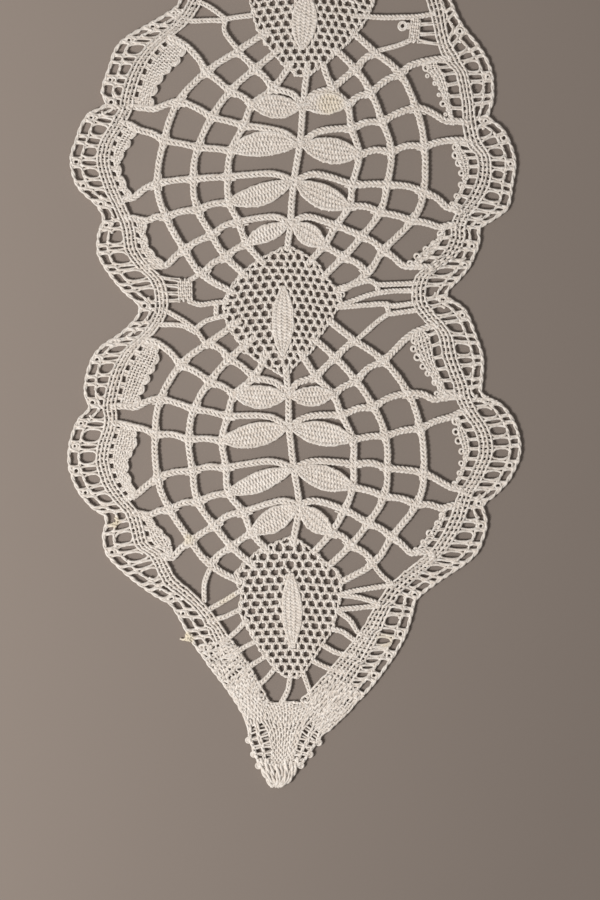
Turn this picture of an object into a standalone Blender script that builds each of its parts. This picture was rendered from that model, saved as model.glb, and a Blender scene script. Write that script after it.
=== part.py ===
"""The end of a bobbin lace strip, lying flat: two medallions of plaits and leaves, scalloped borders and a bound tip.

Everything is worked out in millimetres. The pattern is charted once, for one side of one medallion, in two
directions: `out` from the spine plait and `down` from the medallion's top joint. The chart is mirrored, repeated
and then laid on the table by `lie`, which gives the strip its slight wander and its uneven sides.
"""

import math
from collections import namedtuple

import bpy
from mathutils import Vector
from mathutils.geometry import convex_hull_2d, delaunay_2d_cdt

MM = 0.001
THICKNESS = 1.0
PLAIT_WIDTH = 1.6
LEAF_SAG = 0.5
LEAF_FULLNESS = 0.7
LEAF_NECK = 1.1
TRAIL_WIDTH = 2.0
CUT_END = -24.4
TIP_END = 136.2
HALF_LENGTH = (TIP_END - CUT_END) / 2
END_BAND = 2.0

# How finely the curves are worked out: the usual step, and the steps of each leaf, fan and border station.
WALK = 2.2
LEAF_STEPS = 8
FAN_STEPS = 9
BORDER_STEPS = 2
# What the finished outline leaves out: short steps, points on a straight stretch, and gaps of a small area.
SHORTEST_STEP = 0.35
STRAIGHTNESS = 0.06
SMALLEST_GAP = 2.2
MERGE = 1e-4

# ---------------------------------------------------------------- the chart of one side

Medallion = namedtuple("Medallion", "name at joints")
MEDALLIONS = (
    Medallion("upper", 0.0, (0.0, 7.4, 14.8, 23.2)),
    Medallion("lower", 57.7, (0.0, 6.3, 14.4, 21.8)),
)
SIDES = {"left": -1, "right": 1}

# Where each spoke crosses the three ring plaits, then meets its fan and the border's trail, as (out, down).
Spoke = namedtuple("Spoke", "joint leaf_width inner middle outer rim trail")
SPOKES = (
    Spoke(0, 0.0, (6.0, -3.9), (10.4, -7.7), (14.4, -11.0), None, None),
    Spoke(0, 4.3, (9.7, -0.6), (14.4, -3.2), (20.1, -6.8), (25.0, -11.4), (28.8, -12.4)),
    Spoke(1, 0.0, (11.0, 3.6), (17.4, 2.1), (24.4, -0.2), (29.6, 1.2), (35.0, 0.8)),
    Spoke(1, 4.7, (13.0, 8.7), (19.6, 8.2), (26.4, 7.0), (31.6, 5.2), (36.0, 4.0)),
    Spoke(2, 0.0, (12.8, 14.0), (19.6, 14.6), (26.9, 15.8), (31.6, 18.8), (34.8, 20.0)),
    Spoke(2, 4.5, (12.2, 19.0), (18.4, 20.5), (24.8, 22.0), (29.6, 23.0), (33.4, 22.4)),
    Spoke(3, 0.0, (10.0, 22.9), (15.2, 25.5), (20.2, 28.4), (23.8, 31.6), (28.6, 32.0)),
    Spoke(3, 4.0, (8.0, 27.2), (12.0, 29.8), (16.6, 33.4), None, None),
)
RINGS = ("inner", "middle", "outer")
RING_STARTS = {"inner": (3.2, -9.0), "middle": (5.6, -11.8), "outer": (8.6, -15.2)}
RING_ENDS = {"inner": (4.2, 31.4), "middle": (7.2, 34.2), "outer": (10.0, 37.2)}
# A plain spoke rises by the lift at this share of its way to the inner ring.
SPOKE_LIFT = 1.3
SPOKE_LIFT_AT = 0.35

# Half widths of the honeycomb patches, `down` from the patch's middle.
Waist = namedtuple("Waist", "down half")
PATCH = (
    Waist(-12.4, 0.8),
    Waist(-8.4, 7.0),
    Waist(-5.6, 10.6),
    Waist(-2.2, 12.4),
    Waist(1.4, 11.6),
    Waist(4.8, 9.2),
    Waist(8.6, 5.4),
    Waist(12.4, 0.8),
)
LONG_PATCH = (
    Waist(-11.6, 0.8),
    Waist(-7.6, 7.6),
    Waist(-4.4, 11.2),
    Waist(2.8, 10.8),
    Waist(8.4, 7.2),
    Waist(13.2, 4.0),
    Waist(15.6, 1.4),
)
PATCH_MIDDLES = (-18.6, 40.5)
LONG_PATCH_MIDDLE = 98.2

# The border: where the middle of the cloth trail lies, and the outer edge beside it.
Station = namedtuple("Station", "trail edge")
TOP = Station((24.6, CUT_END), (28.6, CUT_END))
SCALLOPS = (
    Station((25.4, -17.6), (29.8, -17.8)),
    Station((27.2, -14.0), (33.6, -14.8)),
    Station((30.4, -10.6), (38.0, -10.6)),
    Station((33.0, -6.4), (40.2, -6.4)),
    Station((34.6, -1.6), (40.6, -2.0)),
    Station((35.0, 0.8), (39.6, 0.6)),
    Station((36.0, 4.0), (42.8, 3.2)),
    Station((37.8, 8.4), (45.2, 8.0)),
    Station((38.2, 12.4), (45.8, 12.8)),
    Station((36.8, 16.8), (43.8, 17.6)),
    Station((34.8, 20.0), (40.8, 20.8)),
    Station((33.4, 22.4), (38.2, 22.8)),
    Station((32.2, 25.2), (38.8, 26.0)),
    Station((30.8, 28.8), (38.2, 29.6)),
    Station((28.6, 32.0), (36.0, 33.0)),
)
WAIST = (Station((26.2, 35.2), (33.0, 36.6)),)
POINT = (
    Station((23.4, 36.0), (29.0, 37.2)),
    Station((20.2, 39.0), (25.2, 40.0)),
    Station((17.4, 43.2), (24.0, 43.6)),
    Station((14.4, 48.4), (21.2, 50.0)),
    Station((9.2, 55.4), (14.0, 59.4)),
    Station((4.6, 61.6), (8.6, 65.0)),
)
# The tip below the point, closed from side to side.
TIP = (
    Waist(60.8, 12.2),
    Waist(65.0, 8.6),
    Waist(67.2, 7.2),
    Waist(69.4, 6.8),
    Waist(70.8, 5.6),
    Waist(72.4, 5.2),
    Waist(74.2, 4.0),
    Waist(76.4, 3.0),
    Waist(78.4, 1.0),
)

# The inner edge of each fan and the stretch of trail behind it.
Fan = namedtuple("Fan", "front back")
FANS = (
    Fan(
        ((25.0, -11.4), (25.2, -8.2), (27.0, -5.0), (28.8, -1.6), (29.6, 1.2)),
        ((28.8, -12.4), (33.0, -6.4), (35.0, 0.8)),
    ),
    Fan(
        ((31.6, 5.2), (31.8, 8.4), (33.4, 12.0), (33.0, 15.6), (31.6, 18.8)),
        ((36.0, 4.0), (38.2, 12.4), (34.8, 20.0)),
    ),
    Fan(
        ((29.6, 23.0), (28.2, 25.4), (26.2, 28.4), (23.8, 31.6)),
        ((33.4, 22.4), (30.8, 28.8), (28.6, 32.0)),
    ),
)
# How much further out than charted the fans' inner edges lie.
FAN_SHIFTS = {
    ("upper", "left"): 0.8,
    ("upper", "right"): 0.0,
    ("lower", "left"): -0.4,
    ("lower", "right"): 0.2,
}

# ---------------------------------------------------------------- how the strip lies

# `spine` is the spine's place across; `left` and `right` stretch each side; a rim moves a side's edge outwards
# and a drop moves it down.
Lie = namedtuple("Lie", "down spine left right left_rim right_rim left_drop right_drop")
LIES = (
    Lie(-25.0, 3.9, 0.93, 0.93, 0.0, 0.0, -4.0, -4.0),
    Lie(-17.6, 3.8, 0.95, 0.95, -0.6, -0.3, -6.0, -6.0),
    Lie(-9.2, 3.1, 1.02, 0.92, -2.2, 0.2, -1.5, -0.4),
    Lie(0.0, 2.1, 1.06, 0.91, -2.4, 1.2, -1.2, 0.6),
    Lie(7.4, 1.5, 1.07, 0.92, -2.6, 1.4, -1.2, 1.6),
    Lie(14.8, 0.3, 1.06, 0.94, -2.6, 1.6, -1.6, 2.2),
    Lie(23.2, -0.4, 1.04, 0.95, -2.2, 2.0, -0.8, 1.4),
    Lie(29.0, -1.0, 1.05, 0.92, -2.2, 2.2, -0.2, 0.4),
    Lie(38.4, -1.6, 0.99, 1.05, 0.0, 0.4, 0.0, -3.5),
    Lie(47.4, -1.6, 1.08, 0.96, -3.6, 1.2, 1.6, -1.5),
    Lie(57.7, -0.8, 1.10, 0.96, -3.6, 1.6, 1.8, -1.0),
    Lie(64.4, -0.6, 1.07, 0.95, -3.2, 2.2, 1.2, -1.4),
    Lie(72.0, 0.3, 1.06, 0.93, -2.6, 2.2, 1.0, -1.0),
    Lie(79.5, 1.3, 1.08, 0.92, -2.6, 2.0, 1.6, -1.2),
    Lie(86.0, 0.0, 1.03, 0.97, -2.0, 1.4, 2.0, -1.2),
    Lie(98.4, -0.5, 0.95, 1.02, -0.4, 0.0, 0.0, 0.0),
    Lie(108.4, -1.5, 0.86, 1.10, 0.0, 0.0, 0.0, 0.0),
    Lie(117.4, -2.4, 0.74, 1.24, 0.0, 0.0, 0.0, 0.0),
    Lie(124.0, -2.9, 0.76, 1.20, 0.0, 0.0, 0.0, 0.0),
    Lie(129.0, -3.2, 0.78, 1.24, 0.0, 0.0, 0.0, 0.0),
    Lie(137.0, -3.7, 0.80, 1.10, 0.0, 0.0, 0.0, 0.0),
)
REACH = 40.0

# Where the lace has been tugged out of true, fading to nothing at the `reach`.
Pull = namedtuple("Pull", "side out down reach outwards lower")
PULLS = (
    Pull(-1, 31.0, -18.0, 6.0, -1.0, 0.4),
    Pull(-1, 36.0, -11.0, 7.0, 1.4, -0.8),
    Pull(-1, 28.0, -6.0, 6.0, 1.2, -0.2),
    Pull(-1, 34.5, 9.0, 7.0, 1.0, -0.4),
    Pull(-1, 29.5, 23.0, 4.0, -1.0, 0.0),
    Pull(-1, 34.0, 43.0, 7.0, -1.2, 1.2),
    Pull(-1, 28.5, 43.0, 5.0, -1.0, 0.2),
    Pull(-1, 29.0, 95.0, 8.0, 1.0, 1.0),
    Pull(1, 25.0, -11.0, 6.0, -0.8, 2.2),
    Pull(1, 31.0, 29.0, 10.0, 1.6, 0.4),
    Pull(1, 30.0, 44.0, 9.0, 1.4, -0.8),
    Pull(1, 42.0, 55.5, 6.0, -1.8, 0.0),
)

# ---------------------------------------------------------------- plaits that only occur once

# Each runs through its points, as (across, up) on the table.
LINKS = (
    # the upper waist, cut by the top end
    ((-8.1, 74.3), (-11.3, 73.9), (-13.5, 73.5)),
    ((-13.5, 73.7), (-17.0, 76.2), (-19.0, 77.0)),
    ((-13.5, 73.3), (-16.5, 73.3), (-19.5, 73.2)),
    ((-13.3, 73.5), (-13.5, 71.1), (-10.9, 67.5)),
    ((12.0, 74.3), (18.5, 73.9), (24.7, 74.1), (28.5, 74.7)),
    ((23.9, 69.5), (21.1, 68.3), (17.1, 67.3)),
    # the waist between the medallions, left
    ((-18.1, 22.9), (-20.7, 21.3)),
    ((-20.9, 17.3), (-18.5, 16.5), (-15.3, 16.9), (-12.7, 17.1)),
    ((-15.1, 16.9), (-15.3, 13.9)),
    ((-12.9, 14.4), (-17.1, 13.3), (-19.3, 11.7)),
    ((-19.3, 11.5), (-22.1, 13.5), (-25.3, 15.3)),
    ((-19.3, 10.9), (-22.1, 12.3), (-25.7, 12.5)),
    ((-19.3, 11.5), (-16.7, 7.9)),
    # the waist between the medallions, right
    ((9.0, 19.7), (15.3, 21.3), (17.3, 20.5), (25.4, 20.9)),
    ((17.1, 20.5), (17.1, 18.7)),
    ((9.0, 16.1), (17.1, 18.9), (25.0, 19.3)),
    ((9.0, 15.9), (18.1, 16.7), (19.9, 16.3), (24.8, 16.9)),
    ((18.7, 16.7), (19.5, 14.7)),
    ((19.5, 14.7), (25.0, 15.5)),
    ((19.5, 14.9), (16.5, 12.7), (12.9, 9.5)),
    # from the long patch to the left border, to the tip, and to the right border
    ((-9.9, -40.3), (-13.3, -42.5), (-16.3, -44.2)),
    ((-10.3, -44.3), (-13.7, -45.9), (-17.1, -46.6)),
    ((-8.9, -46.3), (-11.3, -48.9), (-13.9, -51.1)),
    ((-7.1, -50.7), (-10.1, -52.3), (-12.3, -54.5)),
    ((-4.9, -53.5), (-8.1, -55.5), (-10.5, -57.1)),
    ((-3.5, -56.1), (-5.5, -58.5), (-8.3, -60.3)),
    ((-0.3, -56.7), (-0.9, -60.5), (-2.5, -63.5)),
    ((2.0, -56.7), (3.3, -60.1), (4.5, -63.1)),
    ((3.7, -54.5), (6.7, -55.9), (10.7, -56.9)),
    ((5.7, -51.3), (9.1, -53.1), (12.7, -53.5)),
    ((7.7, -48.3), (10.1, -48.9), (13.3, -51.3)),
    ((8.7, -44.5), (11.5, -46.5), (13.1, -48.9), (15.3, -49.9)),
    ((8.7, -44.5), (12.9, -44.1), (17.1, -43.7)),
    ((9.5, -41.5), (13.5, -42.1), (17.5, -43.3)),
    ((9.3, -41.5), (13.5, -40.5), (18.5, -39.7)),
    # the lower medallion's last spokes, to the borders
    ((-16.4, -36.1), (-17.6, -39.5), (-17.5, -43.0)),
    ((16.0, -35.1), (17.6, -37.5), (19.5, -39.2)),
)
# Small combs of cloth stitch, as a middle line and a width.
COMBS = (
    (((-27.0, 19.5), (-20.3, 19.5)), 4.4),
    (((22.9, 71.7), (28.9, 71.3)), 5.0),
)
LACE_COLOUR = (0.80, 0.755, 0.68, 1.0)


def walked(points, steps=None):
    """Points along a smooth curve through the given ones: about every WALK, or so many steps for each."""
    ends = [points[0], *points, points[-1]]
    found = []
    for before, start, end, after in zip(ends, ends[1:], ends[2:], ends[3:]):
        count = steps or max(1, round(math.dist(start, end) / WALK))
        for step in range(count):
            t = step / count
            found.append(
                tuple(
                    0.5
                    * (
                        2 * b
                        + (c - a) * t
                        + (2 * a - 5 * b + 4 * c - d) * t * t
                        + (3 * b - a - 3 * c + d) * t * t * t
                    )
                    for a, b, c, d in zip(before, start, end, after)
                )
            )
    found.append(tuple(points[-1]))
    return found


def lie_at(down):
    """The row of LIES at a distance down the strip, with an even change from row to row."""
    for above, below in zip(LIES, LIES[1:]):
        if down <= below.down or below is LIES[-1]:
            t = min(1, max(0, (down - above.down) / (below.down - above.down)))
            blend = t * t * (3 - 2 * t)
            return Lie(*(a + (b - a) * blend for a, b in zip(above, below)))


def lie(side, out, down):
    """A place of the chart, as (across, up) on the table."""
    here = lie_at(down)
    if side < 0:
        stretch, rim, drop = here.left, here.left_rim, here.left_drop
    else:
        stretch, rim, drop = here.right, here.right_rim, here.right_drop
    near_edge = (out / REACH) ** 2
    moved_out = stretch * out + rim * near_edge
    lowered = down + drop * near_edge
    for pull in PULLS:
        near = max(0.0, 1 - math.hypot(out - pull.out, down - pull.down) / pull.reach)
        if pull.side == side and near:
            fade = near * near * (3 - 2 * near)
            moved_out += fade * pull.outwards
            lowered += fade * pull.lower
    return here.spine + side * moved_out, HALF_LENGTH + CUT_END - max(lowered, CUT_END)


def laid(side, points, at=0.0):
    return [lie(side, out, down + at) for out, down in points]


def sides_of(points, width):
    """The two edges of a ribbon. The width is a number, or one for each point."""
    widths = width if isinstance(width, list) else [width] * len(points)
    left, right = [], []
    for index, point in enumerate(points):
        ahead = Vector(points[min(index + 1, len(points) - 1)])
        behind = Vector(points[max(index - 1, 0)])
        along = (ahead - behind).normalized()
        across = Vector((-along.y, along.x)) * widths[index] / 2
        left.append(tuple(Vector(point) + across))
        right.append(tuple(Vector(point) - across))
    return left, right


def band(one, other):
    """The four-sided patches between two lines of as many points."""
    return [list(corners) for corners in zip(one, one[1:], other[1:], other)]


def ribbon(points, width=PLAIT_WIDTH):
    return band(*sides_of(points, width))


def leaf(start, end, width):
    """A woven leaf: a pointed oval from start to end, hanging a little below the line between them."""
    points, widths = [], []
    for step in range(LEAF_STEPS + 1):
        t = step / LEAF_STEPS
        swell = math.sin(math.pi * t)
        x, y = (a + (b - a) * t for a, b in zip(start, end))
        points.append((x, y - LEAF_SAG * swell))
        widths.append(max(LEAF_NECK, width * swell**LEAF_FULLNESS))
    return ribbon(points, widths)


def spoke_path(medallion, spoke):
    """A spoke's points on the chart, from the spine outwards."""
    start = (0.0, medallion.joints[spoke.joint])
    points = [start]
    if not spoke.leaf_width:
        out, down = (a + (b - a) * SPOKE_LIFT_AT for a, b in zip(start, spoke.inner))
        points.append((out, down - SPOKE_LIFT))
    points += [spoke.inner, spoke.middle, spoke.outer]
    points += [end for end in (spoke.rim, spoke.trail) if end]
    return points


def medallion_pieces(medallion, side):
    pieces = []
    for spoke in SPOKES:
        path = spoke_path(medallion, spoke)
        if spoke.leaf_width:
            pieces += leaf(*laid(side, path[:2], medallion.at), spoke.leaf_width)
            path = path[1:]
        pieces += ribbon(walked(laid(side, path, medallion.at)))
    for ring in RINGS:
        crossings = [getattr(spoke, ring) for spoke in SPOKES]
        path = [RING_STARTS[ring], *crossings, RING_ENDS[ring]]
        pieces += ribbon(walked(laid(side, path, medallion.at)))
    return pieces


def patch_pieces(rows, middle):
    """A honeycomb patch, closed from its left edge to its right one."""
    down = [(row.half, row.down + middle) for row in rows]
    down = [place for place in down if place[1] >= CUT_END]
    edges = [walked(laid(side, down)) for side in SIDES.values()]
    count = min(len(edge) for edge in edges)
    return band(edges[0][:count], edges[1][:count])


def even(points, count):
    """As many points as asked for, evenly spaced along a line."""
    lengths = [0.0]
    for a, b in zip(points, points[1:]):
        lengths.append(lengths[-1] + math.dist(a, b))
    found = []
    for step in range(count):
        wanted = lengths[-1] * step / (count - 1)
        index = max(1, min(len(points) - 1, sum(length < wanted for length in lengths)))
        t = (wanted - lengths[index - 1]) / (lengths[index] - lengths[index - 1])
        found.append(tuple(a + (b - a) * t for a, b in zip(points[index - 1], points[index])))
    return found


def border_stations():
    """The border's stations down the whole strip."""
    found = [Station(*row) for row in (TOP, *SCALLOPS, *WAIST)]
    for row in SCALLOPS + POINT:
        found.append(Station(*((out, down + MEDALLIONS[-1].at) for out, down in row)))
    return found


def border_pieces(side):
    stations = border_stations()
    trail = laid(side, [station.trail for station in stations])
    edge = laid(side, [station.edge for station in stations])
    smooth_trail = walked(trail, BORDER_STEPS)
    pieces = band(smooth_trail, walked(edge, BORDER_STEPS))
    inner = min(sides_of(smooth_trail, TRAIL_WIDTH), key=lambda line: side * sum(p[0] for p in line))
    pieces += band(inner, smooth_trail)
    for medallion in MEDALLIONS:
        shift = FAN_SHIFTS[medallion.name, "left" if side < 0 else "right"]
        for fan in FANS:
            moved = [(out + shift, down) for out, down in fan.front[1:-1]]
            front = walked(laid(side, [fan.front[0], *moved, fan.front[-1]], medallion.at))
            back = walked(laid(side, fan.back, medallion.at))
            pieces += band(even(front, FAN_STEPS), even(back, FAN_STEPS))
    return pieces


def tip_pieces():
    at = MEDALLIONS[-1].at
    down = [(row.half, row.down + at) for row in TIP]
    return band(laid(-1, down), laid(1, down))


def all_pieces():
    pieces = []
    for side in SIDES.values():
        for medallion in MEDALLIONS:
            pieces += medallion_pieces(medallion, side)
        pieces += border_pieces(side)
    for middle in PATCH_MIDDLES:
        pieces += patch_pieces(PATCH, middle)
    pieces += patch_pieces(LONG_PATCH, LONG_PATCH_MIDDLE)
    pieces += tip_pieces()
    spine = [(0.0, CUT_END)]
    spine += [(0.0, row.down) for row in LIES[1:-1]]
    pieces += ribbon(walked(laid(1, spine)))
    for path in LINKS:
        pieces += ribbon(walked(path))
    for path, width in COMBS:
        pieces += ribbon(list(path), width)
    level = HALF_LENGTH - END_BAND / 2
    corners = [lie(side, *TOP.edge) for side in SIDES.values()]
    pieces += ribbon([(across, level) for across, _ in corners], END_BAND)
    return pieces


def edges_of_union(pieces):
    """The closed lines round everything that the pieces cover together."""
    points, faces = [], []
    for corners in pieces:
        hull = convex_hull_2d([Vector(corner) for corner in corners])
        faces.append(list(range(len(points), len(points) + len(hull))))
        points += [Vector(corners[index]) for index in hull]
    points, _, faces, _, _, sources = delaunay_2d_cdt(points, [], faces, 1, MERGE)
    covered = [face for face, source in zip(faces, sources) if source]
    directed = set()
    for face in covered:
        directed |= set(zip(face, face[1:] + face[:1]))
    border = sorted(edge for edge in directed if edge[::-1] not in directed)
    after = {}
    for start, end in border:
        after.setdefault(start, []).append(end)
    crossings = [start for start, ends in after.items() if len(ends) > 1]
    print(f"{len(border)} border edges, {len(crossings)} points where two gaps touch")
    loops = []
    while after:
        start = next(iter(after))
        loop = [start]
        while loop[0] != loop[-1] or len(loop) == 1:
            ends = after[loop[-1]]
            end = ends.pop()
            if not ends:
                del after[loop[-1]]
            loop.append(end)
        loops.append([tuple(points[index]) for index in loop[:-1]])
    return loops


def thinned(loop):
    """The loop without its very short steps and without points on a straight stretch."""
    kept = [loop[0]]
    for point in loop[1:]:
        if math.dist(point, kept[-1]) >= SHORTEST_STEP:
            kept.append(point)
    changed = True
    while changed and len(kept) > 3:
        changed = False
        for index, point in enumerate(kept):
            before, after = kept[index - 1], kept[(index + 1) % len(kept)]
            across = (after[0] - before[0]) * (point[1] - before[1])
            across -= (after[1] - before[1]) * (point[0] - before[0])
            if abs(across) / max(math.dist(before, after), MERGE) < STRAIGHTNESS:
                del kept[index]
                changed = True
                break
    return kept


def area_of(loop):
    return sum(a[0] * b[1] - b[0] * a[1] for a, b in zip(loop, loop[1:] + loop[:1])) / 2


def centred(loops):
    """The loops moved together, so that the middle of all that they span lies on the origin."""
    points = [point for loop in loops for point in loop]
    spans = [(min(values), max(values)) for values in zip(*points)]
    middle = [(low + high) / 2 for low, high in spans]
    print(f"moved by {-middle[0]:.3f} across, {-middle[1]:.3f} up")
    return [[(x - middle[0], y - middle[1]) for x, y in loop] for loop in loops]


def clear_scene():
    for old in list(bpy.data.objects):
        bpy.data.objects.remove(old)


def cotton():
    material = bpy.data.materials.new("lace_cotton")
    material.use_nodes = True
    shader = material.node_tree.nodes["Principled BSDF"]
    shader.inputs["Base Color"].default_value = LACE_COLOUR
    shader.inputs["Roughness"].default_value = 0.85
    shader.inputs["Metallic"].default_value = 0.0
    return material


def main():
    clear_scene()
    collection = bpy.data.collections.new("bobbin_lace_strip")
    bpy.context.scene.collection.children.link(collection)
    loops = centred([thinned(loop) for loop in edges_of_union(all_pieces())])
    outline = max(loops, key=area_of)
    gaps = [loop for loop in loops if area_of(loop) < -SMALLEST_GAP]
    curve = bpy.data.curves.new("lace", "CURVE")
    curve.dimensions = "2D"
    curve.fill_mode = "BOTH"
    curve.extrude = THICKNESS * MM / 2
    for loop in [outline, *gaps]:
        spline = curve.splines.new("POLY")
        spline.points.add(len(loop) - 1)
        for point, (x, y) in zip(spline.points, loop):
            point.co = (x * MM, y * MM, 0.0, 1.0)
        spline.use_cyclic_u = True
    curve.materials.append(cotton())
    lace = bpy.data.objects.new("lace", curve)
    lace.location.z = THICKNESS * MM / 2
    collection.objects.link(lace)
    print(f"{len(gaps)} gaps, {sum(map(len, gaps)) + len(outline)} points")


main()
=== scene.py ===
# %% [markdown]
# # The pointed end of a bobbin lace strip
#
# Bobbin lace is nothing but thread: pairs of threads are wound on bobbins, plaited, twisted and woven over
# a pricked pattern, and the pins are drawn out at the end. So the model is thread too. Each cell charts
# where one kind of stitch runs, and a small Geometry Nodes tree turns those lines into round, plied,
# interlaced thread.

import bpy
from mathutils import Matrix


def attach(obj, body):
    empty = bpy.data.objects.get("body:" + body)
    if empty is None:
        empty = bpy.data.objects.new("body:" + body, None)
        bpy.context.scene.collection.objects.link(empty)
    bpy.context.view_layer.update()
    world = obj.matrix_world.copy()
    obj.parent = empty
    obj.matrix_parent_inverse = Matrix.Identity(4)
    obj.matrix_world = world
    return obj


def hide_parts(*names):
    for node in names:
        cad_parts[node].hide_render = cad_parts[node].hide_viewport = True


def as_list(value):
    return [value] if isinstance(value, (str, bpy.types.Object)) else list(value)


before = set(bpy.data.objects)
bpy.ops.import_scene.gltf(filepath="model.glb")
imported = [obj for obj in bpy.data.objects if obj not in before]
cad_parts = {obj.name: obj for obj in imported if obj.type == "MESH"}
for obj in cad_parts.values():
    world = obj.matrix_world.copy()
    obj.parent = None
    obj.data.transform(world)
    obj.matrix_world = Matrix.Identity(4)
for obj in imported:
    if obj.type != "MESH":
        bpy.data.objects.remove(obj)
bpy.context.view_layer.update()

# %% [markdown]
# ## Tools
#
# Blender's own modules, and the standard library for chance and for writing the sizes down. One seeded
# source of chance serves the whole script, so that each run gives the same lace.

# %% The modules and the seed
import math
import random
from collections import namedtuple
from itertools import accumulate, takewhile

import bpy
from mathutils import Vector

chance = random.Random(7)
MM = 0.001
MIDDLE = 0.5
UP = Vector((0.0, 1.0))
print("lengths are worked out in millimetres and laid down in metres")

# %% [markdown]
# ## The chart of one medallion
#
# A lace maker works from a pricking: a card with the pattern marked on it once, which is then repeated.
# This is the same idea. Places are given as `out`, away from the middle plait, and `down` from the top of a
# medallion. Each of the eight spokes meets three rings, and all but the first and the last go on to the
# border. Four of the spokes begin with a leaf.

# %% Medallions, spokes and rings
Medallion = namedtuple("Medallion", "name at joints")
MEDALLIONS = (
    Medallion("upper", 0.0, (0.0, 7.4, 14.8, 23.2)),
    Medallion("lower", 57.7, (0.0, 6.3, 14.4, 21.8)),
)
SIDES = {"left": -1, "right": 1}
CUT_END = -24.4
TIP_END = 136.2
HALF_LENGTH = (TIP_END - CUT_END) / 2

Spoke = namedtuple("Spoke", "joint inner middle outer rim trail")
SPOKES = (
    Spoke(0, (6.0, -3.9), (10.4, -7.7), (14.4, -11.0), None, None),
    Spoke(0, (9.7, -0.6), (14.4, -3.2), (20.1, -6.8), (25.0, -11.4), (28.8, -12.4)),
    Spoke(1, (11.0, 3.6), (17.4, 2.1), (24.4, -0.2), (29.6, 1.2), (35.0, 0.8)),
    Spoke(1, (13.0, 8.7), (19.6, 8.2), (26.4, 7.0), (31.6, 5.2), (36.0, 4.0)),
    Spoke(2, (12.8, 14.0), (19.6, 14.6), (26.9, 15.8), (31.6, 18.8), (34.8, 20.0)),
    Spoke(2, (12.2, 19.0), (18.4, 20.5), (24.8, 22.0), (29.6, 23.0), (33.4, 22.4)),
    Spoke(3, (10.0, 22.9), (15.2, 25.5), (20.2, 28.4), (23.8, 31.6), (28.6, 32.0)),
    Spoke(3, (8.0, 27.2), (12.0, 29.8), (16.6, 33.4), None, None),
)
RINGS = ("inner", "middle", "outer")
RING_STARTS = {"inner": (3.2, -9.0), "middle": (5.6, -11.8), "outer": (8.6, -15.2)}
RING_ENDS = {"inner": (4.2, 31.4), "middle": (7.2, 34.2), "outer": (10.0, 37.2)}
SPOKE_LIFT = 1.3
SPOKE_LIFT_AT = 0.35
HALVES = [(side, medallion) for side in SIDES.values() for medallion in MEDALLIONS]
print(len(SPOKES), "spokes on each side of", len(MEDALLIONS), "medallions")

# %% [markdown]
# ## The chart of the border
#
# A cloth-stitch trail winds down each side, and a plain edge line runs outside it. Each station names the
# middle of the trail and the edge beside it. Three fans a side fill the bays inside the trail.

# %% Stations, waists and fans
Station = namedtuple("Station", "trail edge")
TOP = Station((24.6, CUT_END), (28.6, CUT_END))
SCALLOPS = (
    Station((25.4, -17.6), (29.8, -17.8)),
    Station((27.2, -14.0), (33.6, -14.8)),
    Station((30.4, -10.6), (38.0, -10.6)),
    Station((33.0, -6.4), (40.2, -6.4)),
    Station((34.6, -1.6), (40.6, -2.0)),
    Station((35.0, 0.8), (39.6, 0.6)),
    Station((36.0, 4.0), (42.8, 3.2)),
    Station((37.8, 8.4), (45.2, 8.0)),
    Station((38.2, 12.4), (45.8, 12.8)),
    Station((36.8, 16.8), (43.8, 17.6)),
    Station((34.8, 20.0), (40.8, 20.8)),
    Station((33.4, 22.4), (38.2, 22.8)),
    Station((32.2, 25.2), (38.8, 26.0)),
    Station((30.8, 28.8), (38.2, 29.6)),
    Station((28.6, 32.0), (36.0, 33.0)),
)
WAIST = (Station((26.2, 35.2), (33.0, 36.6)),)
POINT = (
    Station((23.4, 36.0), (28.2, 38.0)),
    Station((20.2, 39.0), (24.9, 40.8)),
    Station((17.4, 43.2), (24.0, 43.6)),
    Station((14.4, 48.4), (21.2, 50.0)),
    Station((9.2, 55.4), (14.0, 59.4)),
    Station((4.6, 61.6), (8.6, 65.0)),
)
Fan = namedtuple("Fan", "front back")
FANS = (
    Fan(
        ((25.0, -11.4), (25.2, -8.2), (27.0, -5.0), (28.8, -1.6), (29.6, 1.2)),
        ((28.8, -12.4), (33.0, -6.4), (35.0, 0.8)),
    ),
    Fan(
        ((31.6, 5.2), (31.8, 8.4), (33.4, 12.0), (33.0, 15.6), (31.6, 18.8)),
        ((36.0, 4.0), (38.2, 12.4), (34.8, 20.0)),
    ),
    Fan(
        ((29.6, 23.0), (28.2, 25.4), (26.2, 28.4), (23.8, 31.6)),
        ((33.4, 22.4), (30.8, 28.8), (28.6, 32.0)),
    ),
)
FAN_SHIFTS = {
    ("upper", "left"): 0.8,
    ("upper", "right"): 0.0,
    ("lower", "left"): -0.4,
    ("lower", "right"): 0.2,
}
print(len(SCALLOPS), "stations round each medallion,", len(FANS), "fans a side")

# %% [markdown]
# ## The honeycomb panels
#
# Above, between and below the medallions the plaits open out into panels of honeycomb. A panel is charted
# by how far it reaches to the left and to the right at each height on the table. No two sides are alike,
# because the plaits round each panel pull at it.

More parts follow.
